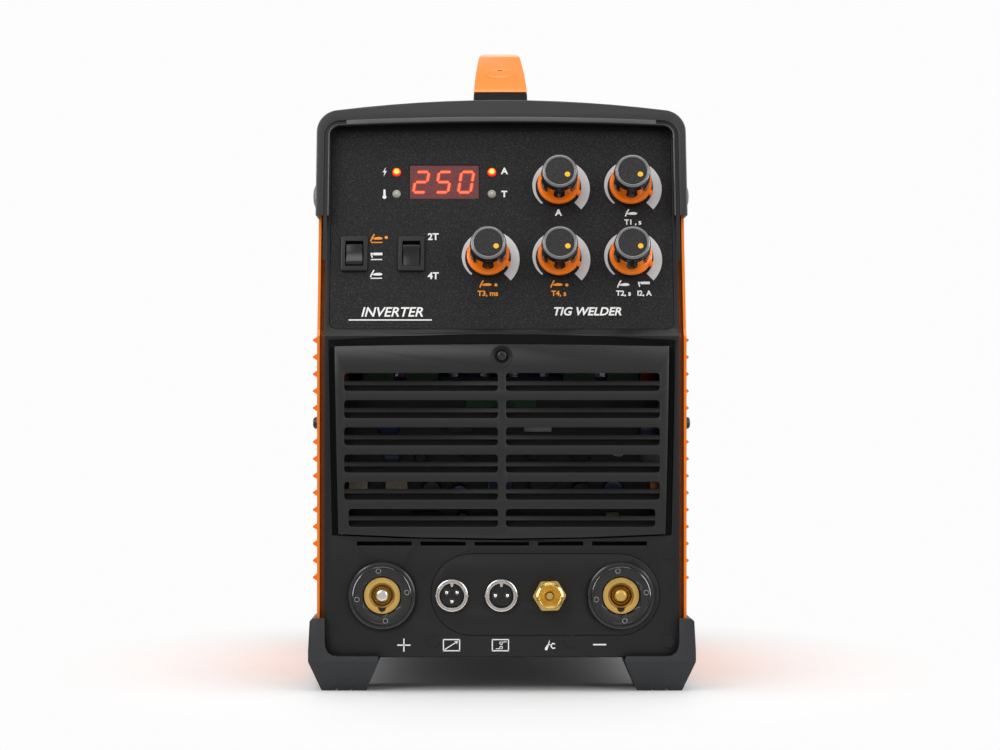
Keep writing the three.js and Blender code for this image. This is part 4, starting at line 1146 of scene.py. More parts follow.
@dataclass
class Lamps:
    """The four signal lamps, each a small dome with its light or its dark chip inside."""

    finishes: Finishes
    radius: float = 2.45

    def build(self) -> None:
        """Builds each lamp over its node."""
        for node, lit in (
            ("mains_lamp", True), ("current_lamp", True), ("heat_lamp", False), ("time_lamp", False)
        ):
            x, y = PANEL.seat(node)
            mount(
                settle(self._lamp(lit), PANEL.at(x, y)), None, "lamp_lit" if lit else "lamp_clear", CHASSIS,
                node
            )

    def _lamp(self, lit: bool) -> bpy.types.Object:
        """One lamp.

        Args:
            lit: Whether its light is on.

        Returns:
            The lamp, on its own axis.
        """
        r = self.radius
        dome = turned(
            "dome",
            [(0, -3), (r, -3), (r, 0.25), (r - 0.2, 0.75), (r - 0.7, 1.1), (r - 1.3, 1.3), (0, 1.42)], 32
        )
        dress(smoothed(dome), self.finishes["lamp lit" if lit else "lamp clear"])
        core = 1.35 if lit else 0.7
        heart = turned(
            "heart", [(0, 0.6), (core, 0.6), (core * 0.96, 1.38), (core * 0.6, 1.5), (0, 1.54)], 24
        )
        dress(smoothed(heart), self.finishes["lamp heart" if lit else "lamp chip"])
        if not lit:
            return joined("lamp_" + "dark", [dome, heart])
        glow = turned("warm", [(0, 0.6), (1.95, 0.6), (1.95, 1.1), (1.4, 1.34), (0, 1.45)], 28)
        dress(smoothed(glow), self.finishes["lamp warm"])
        return joined("lamp_" + "lit", [dome, glow, heart])


@dataclass
class PanelPrints:
    """Scale arcs round the knobs, signs beside the switches and lamps, and the plain title lines."""

    finishes: Finishes
    pen: Print
    scale_inner: float = 12.9
    scale_start: float = 227.0
    scale_sweep: float = 273.5
    thin: float = 1.0
    thick: float = 5.6

    def build(self) -> None:
        """Prints everything on the panel, one mesh for each ink."""
        knobs = [PANEL.seat(f"{name}_knob") for name in Knobs.names]
        scales = [placed(self._scale(), *knob) for knob in knobs]
        self._ink("panel_scales", scales, "silver print")
        self._ink("panel_white_signs", self._white(knobs), "white print")
        self._ink("panel_orange_signs", self._orange(knobs), "orange print")

    def _ink(self, name: str, marks: list[bpy.types.Object], finish: str) -> None:
        """Joins marks and lays them on the panel's face."""
        sheet = settle(joined(name, marks), PANEL.at(0, 0, 0.02))
        mount(sheet, self.finishes[finish], "panel_overlay", CHASSIS)

    def _scale(self) -> bpy.types.Object:
        """A scale arc that widens clockwise."""
        steps = 54
        inner, outer = [], []
        for index in range(steps + 1):
            share = index / steps
            angle = math.radians(self.scale_start - self.scale_sweep * share)
            radius = self.scale_inner + self.thin + (self.thick - self.thin) * share
            inner.append((self.scale_inner * math.cos(angle), self.scale_inner * math.sin(angle)))
            outer.append((radius * math.cos(angle), radius * math.sin(angle)))
        return self.pen.fill([*inner, *reversed(outer)])

    def _white(self, knobs: list[Point]) -> list[bpy.types.Object]:
        """Every white sign of the panel."""
        pen = self.pen
        lamp = {name: PANEL.seat(name) for name in ("mains_lamp", "current_lamp", "heat_lamp", "time_lamp")}
        bolt = [(0.7, 2.7), (-1.2, -0.45), (-0.05, -0.15), (-0.5, -2.7), (1.3, 0.6), (0.15, 0.25)]
        marks = [placed(pen.fill(bolt), lamp["mains_lamp"][0] - 6.8, lamp["mains_lamp"][1] + 0.2)]
        marks += [
            placed(mark, lamp["heat_lamp"][0] - 6.8, lamp["heat_lamp"][1]) for mark in self._thermometer()
        ]
        marks.append(
            placed(pen.word("A", 3.6, 0.2), lamp["current_lamp"][0] + 7.1, lamp["current_lamp"][1] + 0.5)
        )
        marks.append(placed(pen.word("T", 3.6, 0.2), lamp["time_lamp"][0] + 7.0, lamp["time_lamp"][1] - 0.2))
        mode, cycle = PANEL.seat("mode_switch_housing"), PANEL.seat("cycle_switch_housing")
        marks += [placed(mark, mode[0] + 12.3, mode[1] - 0.8) for mark in self._holder(True)]
        marks += [placed(mark, mode[0] + 12.3, mode[1] - 11.7) for mark in self._torch(True)]
        marks.append(placed(pen.word("2T", 3.8, 0.16), cycle[0] + 12.2, cycle[1] + 10.4))
        marks.append(placed(pen.word("4T", 3.8, 0.16), cycle[0] + 12.3, cycle[1] - 12.8))
        main, slope, _, _, gas = knobs
        marks.append(placed(pen.word("A", 3.6, 0.2), main[0] - 0.1, main[1] - 15.5))
        marks += [placed(mark, slope[0] + 0.2, slope[1] - 15.9) for mark in self._torch(False)]
        marks.append(placed(pen.word("T1 , s", 2.9, 0.12), slope[0] + 1.2, slope[1] - 21.2))
        marks += [placed(mark, gas[0] - 4.3, gas[1] - 15.9) for mark in self._torch(False)]
        marks.append(placed(pen.word("T2, s", 2.9, 0.12), gas[0] - 4.2, gas[1] - 21.1))
        marks += [placed(mark, gas[0] + 7.2, gas[1] - 16.0) for mark in self._holder(False)]
        marks.append(placed(pen.word("I2, A", 2.9, 0.12), gas[0] + 7.4, gas[1] - 21.1))
        marks.append(placed(pen.word("INVERTER", 5.4, 0.12, 0.25), -61.5, 9.6))
        marks.append(placed(pen.word("TIG WELDER", 4.6, 0.16, 0.25), 47.5, 10.0))
        marks.append(pen.line([(-85.5, 5.2), (-39, 5.2)], 0.7))
        return marks

    def _orange(self, knobs: list[Point]) -> list[bpy.types.Object]:
        """Every orange sign of the panel."""
        pen = self.pen
        mode = PANEL.seat("mode_switch_housing")
        marks = [placed(mark, mode[0] + 12.3, mode[1] + 9.6) for mark in self._torch(True)]
        marks.append(pen.dot(mode[0] + 17.8, mode[1] + 10.1, 0.95))
        for knob, text in ((knobs[2], "T3, ms"), (knobs[3], "T4, s")):
            marks += [placed(mark, knob[0] - 1.4, knob[1] - 15.9) for mark in self._torch(False)]
            marks.append(pen.dot(knob[0] + 4.4, knob[1] - 16.1, 0.95))
            marks.append(placed(pen.word(text, 2.9, 0.12), knob[0] - 0.1, knob[1] - 21.2))
        return marks

    def _thermometer(self) -> list[bpy.types.Object]:
        """A thermometer."""
        tube = self.pen.fill([*arc((0, 2.2), 0.62, 0, 180, 6), (-0.62, -1.2), (0.62, -1.2)])
        return [tube, self.pen.dot(0, -1.75, 1.15)]

    def _torch(self, underlined: bool) -> list[bpy.types.Object]:
        """A welding torch that points down to the left, with the work under it if asked."""
        handle = [
            (-2.2, -0.5), (-1.2, 0.45), (0.6, 0.85), (2.2, 0.8), (3.4, 0.35), (3.4, -0.35), (2.2, -0.75),
            (-0.4, -0.75),
        ]
        marks = [
            self.pen.fill(handle),
            self.pen.line([(-1.2, 2.5), (-2.5, 0.2), (-3.2, -1.7)], 0.75),
            self.pen.line([(-2.6, 0.1), (-1.2, -0.2)], 0.7),
        ]
        if underlined:
            marks.append(self.pen.line([(-3.1, -2.4), (3.3, -2.4)], 0.6))
        return marks

    def _holder(self, underlined: bool) -> list[bpy.types.Object]:
        """A stick electrode holder, with the work under it if asked."""
        marks = [
            self.pen.line([(-1.6, 1.1), (3.4, 1.1)], 1.5),
            self.pen.line([(-3.2, 1.5), (-1.6, 1.1)], 0.75),
            self.pen.line([(-3.2, 0.8), (-2.6, 0.5), (-2.3, -1.2)], 0.65),
        ]
        if underlined:
            marks.append(self.pen.line([(-3.1, -2.2), (3.3, -2.2)], 0.6))
        return marks


@dataclass
class PlatePrints:
    """The white signs under the sockets."""

    finishes: Finishes
    pen: Print
    height: float = 25.3
    frame_width: float = 9.0
    frame_height: float = 6.2

    def build(self) -> None:
        """Prints the five signs on the fascia's front face."""
        pen = self.pen
        marks = [
            placed(pen.line([(-3.7, 0), (3.7, 0)], 0.7), -54.5, 0),
            placed(pen.line([(0, -3.6), (0, 3.6)], 0.7), -54.5, 0),
            placed(pen.line([(-3.7, 0), (3.7, 0)], 0.8), 54.4, 0.3),
        ]
        marks += [placed(mark, -28.0, 0) for mark in self._remote()]
        marks += [placed(mark, -0.8, 0) for mark in self._switch()]
        marks += [placed(mark, 26.4, 0) for mark in self._gas()]
        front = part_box("front_fascia")[0].y
        sheet = settle(joined("plate_signs", marks), front_place(0, front, self.height * MM))
        mount(sheet, self.finishes["white print"], "black_moulding", CHASSIS)

    def _frame(self) -> list[bpy.types.Object]:
        """An open rectangle."""
        x, y = self.frame_width / 2, self.frame_height / 2
        wide = [self.pen.line([(-x - 0.3, side * y), (x + 0.3, side * y)], 0.6) for side in (-1, 1)]
        high = [self.pen.line([(side * x, -y), (side * x, y)], 0.6) for side in (-1, 1)]
        return wide + high

    def _remote(self) -> list[bpy.types.Object]:
        """A frame with a rising arrow."""
        head = self.pen.fill([(3.6, 2.4), (1.6, 2.1), (3.0, 0.6)])
        return [*self._frame(), self.pen.line([(-3.9, -2.5), (2.6, 1.6)], 0.5), head]

    def _switch(self) -> list[bpy.types.Object]:
        """A frame with the two contacts of a push switch."""
        marks = self._frame()
        for x, y, reach in ((0.4, 1.1, 3.0), (0.4, -1.3, -3.0)):
            marks.append(self.pen.line(arc((x, y), 0.75, 0, 360, 14), 0.4))
            marks.append(
                self.pen.line(
                    [(x, y + 0.7 * math.copysign(1, reach)), (x + reach, y + 0.7 * math.copysign(1, reach))],
                    0.4
                )
            )
        return marks

    def _gas(self) -> list[bpy.types.Object]:
        """A drop on its stem with a bent pipe."""
        drop = [
            (0.1, 3.2), (-0.5, 1.0), (-2.2, -1.2), *arc((-1.7, -2.1), 0.8, 150, 330, 7), (-0.5, -0.6),
            (0.2, 1.4)
        ]
        pipe = self.pen.line(
            [(3.2, 0.6), (2.0, 1.0), (1.1, 0.1), (1.1, -0.9), (2.0, -1.8), (3.3, -1.5)], 0.65
        )
        return [self.pen.fill(drop), pipe, self.pen.line([(-0.5, 0.2), (1.1, 0.2)], 0.5)]


# ---------------------------------------------------------------- switches

@dataclass
class PanelSwitches:
    """The mode and cycle rockers in their frames."""

    finishes: Finishes
    width: float = 14.8
    height: float = 20.4
    proud: float = 1.9
    mouth_half: float = 4.95
    mouth_high: float = 7.45
    bulge: float = 0.3
    swing: float = 7.3
    lean: float = 12.0

    def build(self) -> None:
        """Builds both switches."""
        for name, lean in (("mode", self.lean), ("cycle", -self.lean)):
            x, y = PANEL.seat(f"{name}_switch_housing")
            frame_piece = settle(self._frame(), PANEL.at(x, y))
            frame_piece.name = f"{name}_switch_frame"
            mount(
                frame_piece, self.finishes["switch frame"], "switch_black", CHASSIS,
                f"{name}_switch_housing"
            )
            joint = next(row for row in frame["joints"] if row["name"] == f"{name}_rocker_tilt")
            pivot = PANEL.place.inverted() @ Vector(joint["pos_m"])
            tilt = Matrix.Rotation(math.radians(-lean), 4, "X")
            paddle = settle(self._paddle(), PANEL.place @ Matrix.Translation(pivot) @ tilt)
            paddle.name = f"{name}_paddle"
            mount(
                paddle, self.finishes["switch black"], "switch_black", f"{name}_rocker",
                f"{name}_switch_rocker"
            )

    def _barrel(self, half: float, high: float, bulge: float) -> list[Point]:
        """A rectangle whose upright sides swell outwards."""
        steps = [index / 5 for index in range(6)]
        right = [(half + bulge * (1 - (2 * t - 1) ** 2), -high + 2 * high * t) for t in steps]
        return right + [(-x, -y) for x, y in right]

    def _frame(self) -> bpy.types.Object:
        """The switch frame: a bevelled rim with a swollen mouth and a well behind it."""
        rim = prism("rim", rounded_rectangle(self.width, self.height, 0.9, 3), self.proud)
        placed(rim, 0, 0, 0.3)
        bevel_edges(rim, 0.55, 3)
        well = prism("well", rounded_rectangle(12, 18, 0.6, 2), 11)
        placed(well, 0, 0, -10.6)
        mouth = prism("mouth", self._barrel(self.mouth_half, self.mouth_high, self.bulge), 20)
        placed(mouth, 0, 0, -9)
        cut(rim, copy_of(mouth, "mouth_rim"))
        cut(well, mouth)
        return smoothed(joined("frame", [rim, well]), 30)

    def _paddle(self) -> bpy.types.Object:
        """The rocker: a hollowed face between two ends that swing round the pivot."""
        end = math.degrees(math.acos(5.75 / self.swing))
        side = arc((0, 0), self.swing, -8, end, 7)
        hollow = [(4.2, 4.25), (2.2, 3.72), (0.0, 3.55)]
        half = side + hollow
        outline = half + [(-x, y) for x, y in reversed(half[:-1])]
        paddle = prism("paddle", outline, 9.4)
        placed(paddle, 0, 0, -4.7)
        bevel_edges(paddle, 0.35, 3, 40)
        lay = Matrix.Rotation(math.pi / 2, 4, "Z") @ Matrix.Rotation(math.pi / 2, 4, "X")
        return smoothed(settle(paddle, lay), 40)


# ---------------------------------------------------------------- connectors

@dataclass
class Connectors:
    """The current sockets, the round control sockets, the gas outlet and the grille's screw."""

    finishes: Finishes
    flange: float = 18.9
    ring: float = 16.3
    front: float = 5.9
    brass: float = 10.35
    face: float = 2.2
    pin: float = 3.75

    def build(self) -> None:
        """Builds every connector on the front."""
        for name, pin_finish in (("positive", "pin nickel"), ("negative", "rough brass")):
            place = self._place(f"{name}_socket_body")
            body = settle(self._body(), place)
            body.name = f"{name}_socket_ring"
            mount(body, None, "socket_moulding", CHASSIS, f"{name}_socket_body")
            contact = settle(self._contact(pin_finish), place)
            contact.name = f"{name}_socket_brass"
            mount(contact, None, "brass", CHASSIS, f"{name}_socket_contact")
        for name, angles in (("remote", (30, 150, 270)), ("torch", (0, 180))):
            place = self._place(f"{name}_socket_shell")
            shell = settle(self._shell(), place)
            shell.name = f"{name}_shell"
            mount(shell, self.finishes["nickel"], "nickel", CHASSIS, f"{name}_socket_shell")
            insert = settle(self._insert(angles), place)
            insert.name = f"{name}_pins"
            mount(insert, None, "insert_black", CHASSIS, f"{name}_socket_insert")
        outlet = settle(self._gas_outlet(), self._place("gas_outlet"))
        mount(outlet, self.finishes["brass"], "brass", CHASSIS, "gas_outlet")
        low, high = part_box("grille_screw")
        screw = settle(
            self._screw(), front_place((low.x + high.x) / 2, low.y + 1.9 * MM, (low.z + high.z) / 2)
        )
        mount(screw, self.finishes["black steel"], "steel", CHASSIS, "grille_screw")

    def _place(self, node: str) -> Matrix:
        """Where a connector's axis meets the fascia's front face."""
        low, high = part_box(node)
        return front_place((low.x + high.x) / 2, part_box("front_fascia")[0].y, (low.z + high.z) / 2)

    def _body(self) -> bpy.types.Object:
        """The black socket ring: stepped flange, spanner holes and a six-sided recess."""
        f, r, top = self.flange, self.ring, self.front
        body = turned("ring", [
            (10.7, -9), (10.7, top), (11.2, top), (12.6, top - 0.35), (15.2, top - 0.35), (15.5, top),
            (r - 0.3, top),
            (r, top - 0.3), (r + 0.15, top - 1.5), (r + 0.5, top - 2.0), (f - 1.1, top - 2.0),
            (f - 0.4, top - 2.4),
            (f, top - 3.1), (f, 0.75), (15.4, 0.7), (15.4, -9), (10.7, -9),
        ], 96)
        hexagon = prism("recess", arc((0, 0), 12.3, 30, 330, 5), 6, 0.4)
        tools = [placed(hexagon, 0, 0, top - 4.2)]
        for angle in (8, 98, 188, 278):
            hole = turned("hole", [(0, 0), (0.95, 0), (0.95, 4), (0, 4)], 16)
            x, y = 14.0 * math.cos(math.radians(angle)), 14.0 * math.sin(math.radians(angle))
            tools.append(placed(hole, x, y, top - 2.4))
        for angle in (38, 215):
            slot = prism("slot", rounded_rectangle(0.9, 3.0, 0.44, 4), 4)
            x, y = 14.0 * math.cos(math.radians(angle)), 14.0 * math.sin(math.radians(angle))
            tools.append(placed(slot, x, y, top - 1.1, angle))
        cut(body, joined("tools", tools))
        dress(smoothed(body, 28), self.finishes["socket moulding"])
        eyelets = [self._eyelet(angle, top - 0.4) for angle in (8, 98, 188, 278)]
        return joined("ring", [body, *eyelets])

    def _eyelet(self, angle: float, height: float) -> bpy.types.Object:
        """The raised edge of a spanner hole, at an angle in degrees; its pale grey is a painted highlight."""
        rim = turned(
            "eyelet",
            [(1.0, -0.3), (1.0, 0.1), (1.2, 0.28), (1.45, 0.2), (1.6, 0), (1.6, -0.3), (1.0, -0.3)], 24
        )
        x, y = 14.0 * math.cos(math.radians(angle)), 14.0 * math.sin(math.radians(angle))
        return dress(placed(smoothed(rim), x, y, height), self.finishes["rim gloss"])

    def _contact(self, pin_finish: str) -> bpy.types.Object:
        """The brass contact with its keyway and its centre pin."""
        b, face = self.brass, self.face
        disc = turned("disc", [
            (0, -8), (b, -8), (b, face - 0.4), (b - 0.35, face), (7.3, face), (6.95, face - 0.35),
            (6.75, face - 1.5),
            (6.2, face - 1.7), (5.7, face - 3.6), (5.2, face - 3.8), (5.0, face - 6), (0, face - 6),
        ], 72)
        key = prism(
            "key", [(-2.9, -5.5), *arc((0, -7.2), 2.15, 200, 340, 8), (2.9, -5.5), (2.0, -3), (-2.0, -3)],
            4.4
        )
        cut(disc, placed(key, 0, 0, face - 2.6))
        dress(smoothed(disc, 30), self.finishes["rough brass"])
        # A black sheet on the keyway's floor: painted shade in the keyway.
        keyway_painted_shade = prism("keyway_painted_shade", [(-2.6, -5.6), *arc((0, -7.2), 1.9, 200, 340, 8), (2.6, -5.6)], 0.2)
        dress(placed(keyway_painted_shade, 0, 0, face - 2.5), self.finishes["insert black"])
        pin = turned("pin", [
            (0, -7.5), (self.pin, -7.5), (self.pin, 0.2), (3.35, 0.9), (2.7, 1.35), (1.6, 1.45), (0, 1.5),
        ], 40)
        dress(smoothed(pin, 40), self.finishes[pin_finish])
        inner = turned(
            "collar", [(5.0, -6), (5.0, -1.6), (4.75, -1.3), (4.4, -1.6), (4.4, -6), (5.0, -6)], 48
        )
        dress(smoothed(inner), self.finishes["brass"])
        throat = turned(
            "throat",
            [
                (4.0, face - 5.6), (6.1, face - 1.62), (6.7, face - 1.4), (6.2, face - 1.68),
                (4.2, face - 5.8), (4.0, face - 5.6)
            ],
            48
        )
        dress(smoothed(throat), self.finishes["dark brass"])
        return joined("contact", [disc, pin, inner, throat, keyway_painted_shade])

    def _shell(self) -> bpy.types.Object:
        """The nickel shell of a round socket: a threaded barrel, a nut and a key at the top."""
        barrel = turned("barrel", [
            (6.75, -4), (6.75, 4.6), (6.95, 4.9), (7.9, 4.9), (8.15, 4.6), (8.15, 4.1), (7.95, 3.9),
            (8.15, 3.7),
            (7.95, 3.5), (8.15, 3.3), (8.15, 2.9), (8.5, 2.9), (8.9, 2.7), (9.2, 2.2), (9.25, 0.8),
            (9.25, 0.35),
            (8.2, 0.3), (8.2, -4), (6.75, -4),
        ], 72)
        tools = []
        for side in (-1, 1):
            nick = block("nick", (1.6, 0.9, 3.0))
            tools.append(placed(nick, side * 9.0, -0.3, 3.0))
        cut(barrel, joined("nicks", tools))
        key = prism(
            "key", [(-1.0, 7.2), (-0.8, 5.7), *arc((0, 5.7), 0.8, 180, 360, 5), (1.0, 7.2)], 5.5, 0.15
        )
        placed(key, 0, 0, -1)
        return smoothed(joined("shell", [barrel, key]), 30)

    def _insert(self, angles: tuple[int, ...]) -> bpy.types.Object:
        """The black insert with its bright pins.

        Args:
            angles: Degrees of each pin round the axis.

        Returns:
            The insert and its pins.
        """
        base = turned("base", [(0, -8), (6.6, -8), (6.6, 1.2), (6.35, 1.5), (5.9, 1.6), (0, 1.6)], 48)
        dress(smoothed(base), self.finishes["insert black"])
        pieces = [base]
        for angle in angles:
            x, y = 3.35 * math.cos(math.radians(angle)), 3.35 * math.sin(math.radians(angle))
            well = turned("well", [(0, 1.58), (1.75, 1.58), (1.75, 1.85), (1.5, 1.95), (0, 1.75)], 20)
            dress(placed(smoothed(well), x, y), self.finishes["socket moulding"])
            pin = turned("pin", [(0, 1.6), (1.05, 1.6), (1.05, 3.2), (0.85, 3.6), (0.45, 3.8), (0, 3.85)], 20)
            dress(placed(smoothed(pin), x, y), self.finishes["pin nickel"])
            pieces += [well, pin]
        return joined("insert", pieces)

    def _gas_outlet(self) -> bpy.types.Object:
        """The brass gas outlet: a chamfered hexagon, a threaded barrel and a funnel mouth."""
        nut = prism(
            "nut",
            [
                (
                    9.35 * math.cos(math.radians(60 * i + 2)), 9.35 * math.sin(math.radians(60 * i + 2))
                ) for i in range(6)
            ],
            6.2
        )
        placed(nut, 0, 0, 0.35)
        trim = turned("trim", [(8.35, 7.5), (9.9, 5.2), (12, 5.2), (12, 7.5), (8.35, 7.5)], 60)
        cut(nut, trim)
        profile = [(0, -9), (4.6, -9), (4.6, 0), (6.9, 0), (6.9, 6.6)]
        for turn in range(6):
            z = 7.2 + turn
            profile += [(6.9, z), (7.45, z + 0.35), (7.45, z + 0.55)]
        profile += [(6.9, 13.4), (6.5, 13.85), (6.1, 13.9), (2.2, 9.6), (1.9, 9.2), (1.9, 4), (0, 4)]
        barrel = turned("barrel", profile, 60)
        return smoothed(joined("gas_fitting", [nut, barrel]), 26)

    def _screw(self) -> bpy.types.Object:
        """A pan-head screw with a cross recess."""
        head = turned("head", [
            (0, -2), (1.8, -2), (1.8, 0), (3.15, 0), (3.2, 0.5), (3.05, 1.15), (2.6, 1.6), (1.9, 1.85),
            (0, 1.9),
        ], 40)
        bars = []
        for turn in (20, 110):
            bar = block("bar", (3.6, 0.75, 2.0), 0.1)
            bars.append(placed(bar, 0, 0, 1.9, turn))
        cut(head, bars[0])
        cut(head, bars[1])
        return smoothed(head, 30)
# ---------------------------------------------------------------- trim and small parts

def arched(half: float, low: float, crest: float, arch: float, corner: float) -> list[Point]:
    """A doorway outline from its lower right over an arched top to its lower left, in millimetres."""
    shoulder = crest - (half - corner) ** 2 / (2 * arch)
    right = [(half, low), *arc((half - corner, shoulder - corner), corner, 0, 82, 9)]
    top = [(x, crest - x * x / (2 * arch)) for x in (half - corner - 4, (half - corner) / 2, 0)]
    whole = right + top
    return whole + [(-x, z) for x, z in reversed(whole[:-1])]


def bevel_where(piece: bpy.types.Object, width: float, segments: int, test: Callable[[Vector], bool]) -> None:
    """Bevels the sharp edges whose two ends pass a test.

    Args:
        piece: The piece.
        width: Width of the bevel in millimetres.
        segments: Steps across it.
        test: Takes a vertex position in metres and says whether it counts.
    """
    edit_all(piece)
    bpy.ops.mesh.select_all(action="DESELECT")
    bpy.ops.mesh.select_mode(type="EDGE")
    bpy.ops.mesh.edges_select_sharp(sharpness=math.radians(35))
    bpy.ops.object.mode_set(mode="OBJECT")
    spots = [vertex.co.copy() for vertex in piece.data.vertices]
    for edge in piece.data.edges:
        edge.select = edge.select and all(test(spots[index]) for index in edge.vertices)
    bpy.ops.object.mode_set(mode="EDIT")
    bpy.ops.mesh.bevel(offset=width * MM, offset_type="OFFSET", segments=segments, clamp_overlap=True)
    clear_selection()


@dataclass
class FrontGuard:
    """The front corner guard: wide outer chamfer with a painted highlight, a channel round the mouth with painted
    shade laid in it, and a lip strip painted pale as a highlight.
    """

    finishes: Finishes
    proud: float = 10.0
    half: float = 97.0
    crest: float = 319.3
    arch: float = 1930.0
    corner: float = 5.5
    chamfer: float = 3.2
    strip_half: float = 87.5

    def build(self) -> None:
        """Cuts the channel into the guard and lays the strip on its lip."""
        guard = fine_copy("front_hood")
        inverse = PANEL.place.inverted()

        def outside(spot: Vector) -> bool:
            """Whether a vertex is on the front face's outer edge."""
            local = inverse @ spot
            edge = abs(spot.x) > (self.half + 4) * MM or spot.z > (self.crest + 3) * MM
            return abs(local.z - self.proud * MM) < 0.4 * MM and edge

        bevel_where(guard, self.chamfer, 3, outside)
        cut(guard, self._slab(0.8, 3.0, self.proud - 1.3, 4))
        bevel_edges(guard, 0.4, 2, 30)
        smooth(guard, 30)
        mount(guard, self.finishes["hood moulding"], "hood_moulding", CHASSIS, "front_hood")
        # The chamfer's paler grey is a painted highlight.
        self._paint_edge_highlight(guard)
        # The lip strip's paler grey is a painted highlight.
        mount(self._strip(), self.finishes["hood strip painted highlight"], "hood_moulding", CHASSIS)
        # A black sheet laid on the channel's floor: painted shade in the channel.
        channel_shade_sheet = self._slab(0.85, 2.95, self.proud - 1.25, 0.15)
        channel_shade_sheet.name = "guard_channel_painted_shade"
        mount(channel_shade_sheet, self.finishes["insert black"], "hood_moulding", CHASSIS)

    def _paint_edge_highlight(self, guard: bpy.types.Object) -> None:
        """Gives the chamfer of the legs and corners a paler grey, a painted highlight of the side light on that
        chamfer.
        """
        guard.data.materials.append(self.finishes["hood edge"])
        for face in guard.data.polygons:
            turned_out = 0.15 < abs(face.normal.x) < 0.98 and face.normal.y < -0.1
            if turned_out and abs(face.center.x) > self.strip_half * MM:
                face.material_index = 1

    def _rise(self, path: list[Point]) -> list[Point]:
        """Turns heights above the floor into distances up the panel's slope."""
        low = PANEL.place.translation.z / MM + self.proud * math.sin(PANEL.tilt)
        return [(x, (z - low) / math.cos(PANEL.tilt)) for x, z in path]

    def _path(self, grow: float) -> list[Point]:
        """The mouth's outline grown by some millimetres."""
        return arched(self.half + grow, 240, self.crest + grow, self.arch, self.corner + grow)

    def _slab(self, start: float, end: float, low: float, depth: float) -> bpy.types.Object:
        """A doorway-shaped slab between two outlines, lying on the guard's face."""
        outline = self._path(end) + list(reversed(self._path(start)))
        return settle(prism("channel", self._rise(outline), depth), PANEL.at(0, 0, low))

    def _strip(self) -> bpy.types.Object:
        """The strip along the lip; its paler grey is a painted highlight of the light from above."""
        half = self.strip_half
        places = [half * (1 - index / 6) for index in range(13)]
        upper = [(x, self.crest + 2.9 - x * x / (2 * self.arch)) for x in places]
        lower = [(x, self.crest + 0.35 - x * x / (2 * self.arch)) for x in places]
        strip = prism("lip_strip", self._rise(upper + list(reversed(lower))), 1.5, 0.25)
        return smoothed(settle(strip, PANEL.at(0, 0, self.proud - 1.2)), 30)


@dataclass
class Fixings:
    """Side screws, the plugs in the handle's slopes and the raised hexagons of the fascia."""

    finishes: Finishes
    screw: tuple[float, float, float] = (103.0, -206.0, 149.0)
    hexagons: tuple[Point, ...] = ((92.7, 76.4), (92.7, 27.5), (38.3, 27.5), (-38.3, 27.5))

    def build(self) -> None:
        """Builds every fixing."""
        heads = []
        for side in (-1, 1):
            head = turned("side_head", [
                (0, -1), (3.5, -1), (3.5, 0.6), (3.3, 1.6), (2.8, 2.3), (1.9, 2.7), (1.5, 2.75), (1.5, 1.6),
                (0, 1.6),
            ], 32)
            x, y, z = self.screw
            turn = Matrix.Rotation(side * math.pi / 2, 4, "Y")
            heads.append(settle(head, Matrix.Translation((side * x * MM, y * MM, z * MM)) @ turn))
        mount(smoothed(joined("side_screws", heads), 30), self.finishes["black steel"], "steel", CHASSIS)
        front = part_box("front_fascia")[0].y
        marks = [self._hexagon(x, z, front) for x, z in self.hexagons]
        mount(joined("fascia_marks", marks), self.finishes["black moulding"], "black_moulding", CHASSIS)
        plugs = [plug for side in (-1, 1) for plug in self._plug(side)]
        mount(joined("handle_plugs", plugs), None, "orange_plastic", CHASSIS)

    def _hexagon(self, x: float, z: float, front: float) -> bpy.types.Object:
        """A raised hexagon on the fascia's front face."""
        mark = prism("hexagon", arc((0, 0), 3.9, 0, 300, 5), 0.5, 0.15)
        placed(mark, 0, 0, -0.1)
        return settle(mark, front_place(x * MM, front, z * MM))

    def _plug(self, side: int) -> list[bpy.types.Object]:
        """A round plug in one slope of the handle.

        Args:
            side: -1 for the front slope, 1 for the rear one.

        Returns:
            The plug and the black bar painted as shade in its slot, dressed.
        """
        mesh = frame["nodes"]["handle_grip_cover"].data
        slope = [face for face in mesh.polygons if face.normal.y * side > 0.35 and face.normal.z > 0.3]
        total = sum(face.area for face in slope)
        spot = sum((face.center * face.area for face in slope), Vector()) / total
        normal = sum((face.normal * face.area for face in slope), Vector()).normalized()
        place = Matrix.Translation(spot) @ normal.to_track_quat("Z", "Y").to_matrix().to_4x4()
        cap = turned(
            "plug", [(0, -1), (8.4, -1), (8.4, 0.15), (8.1, 0.4), (7.6, 0.45), (7.3, 0.3), (0, 0.35)], 48
        )
        dress(smoothed(settle(cap, place), 30), self.finishes["orange plastic"])
        # A black bar in the plug's slot: painted shade in the slot.
        slot = block("plug_slot_painted_shade", (3.0, 0.5, 0.2))
        placed(slot, 0, 5.4, 0.4)
        dress(settle(slot, place), self.finishes["insert black"])
        return [cap, slot]


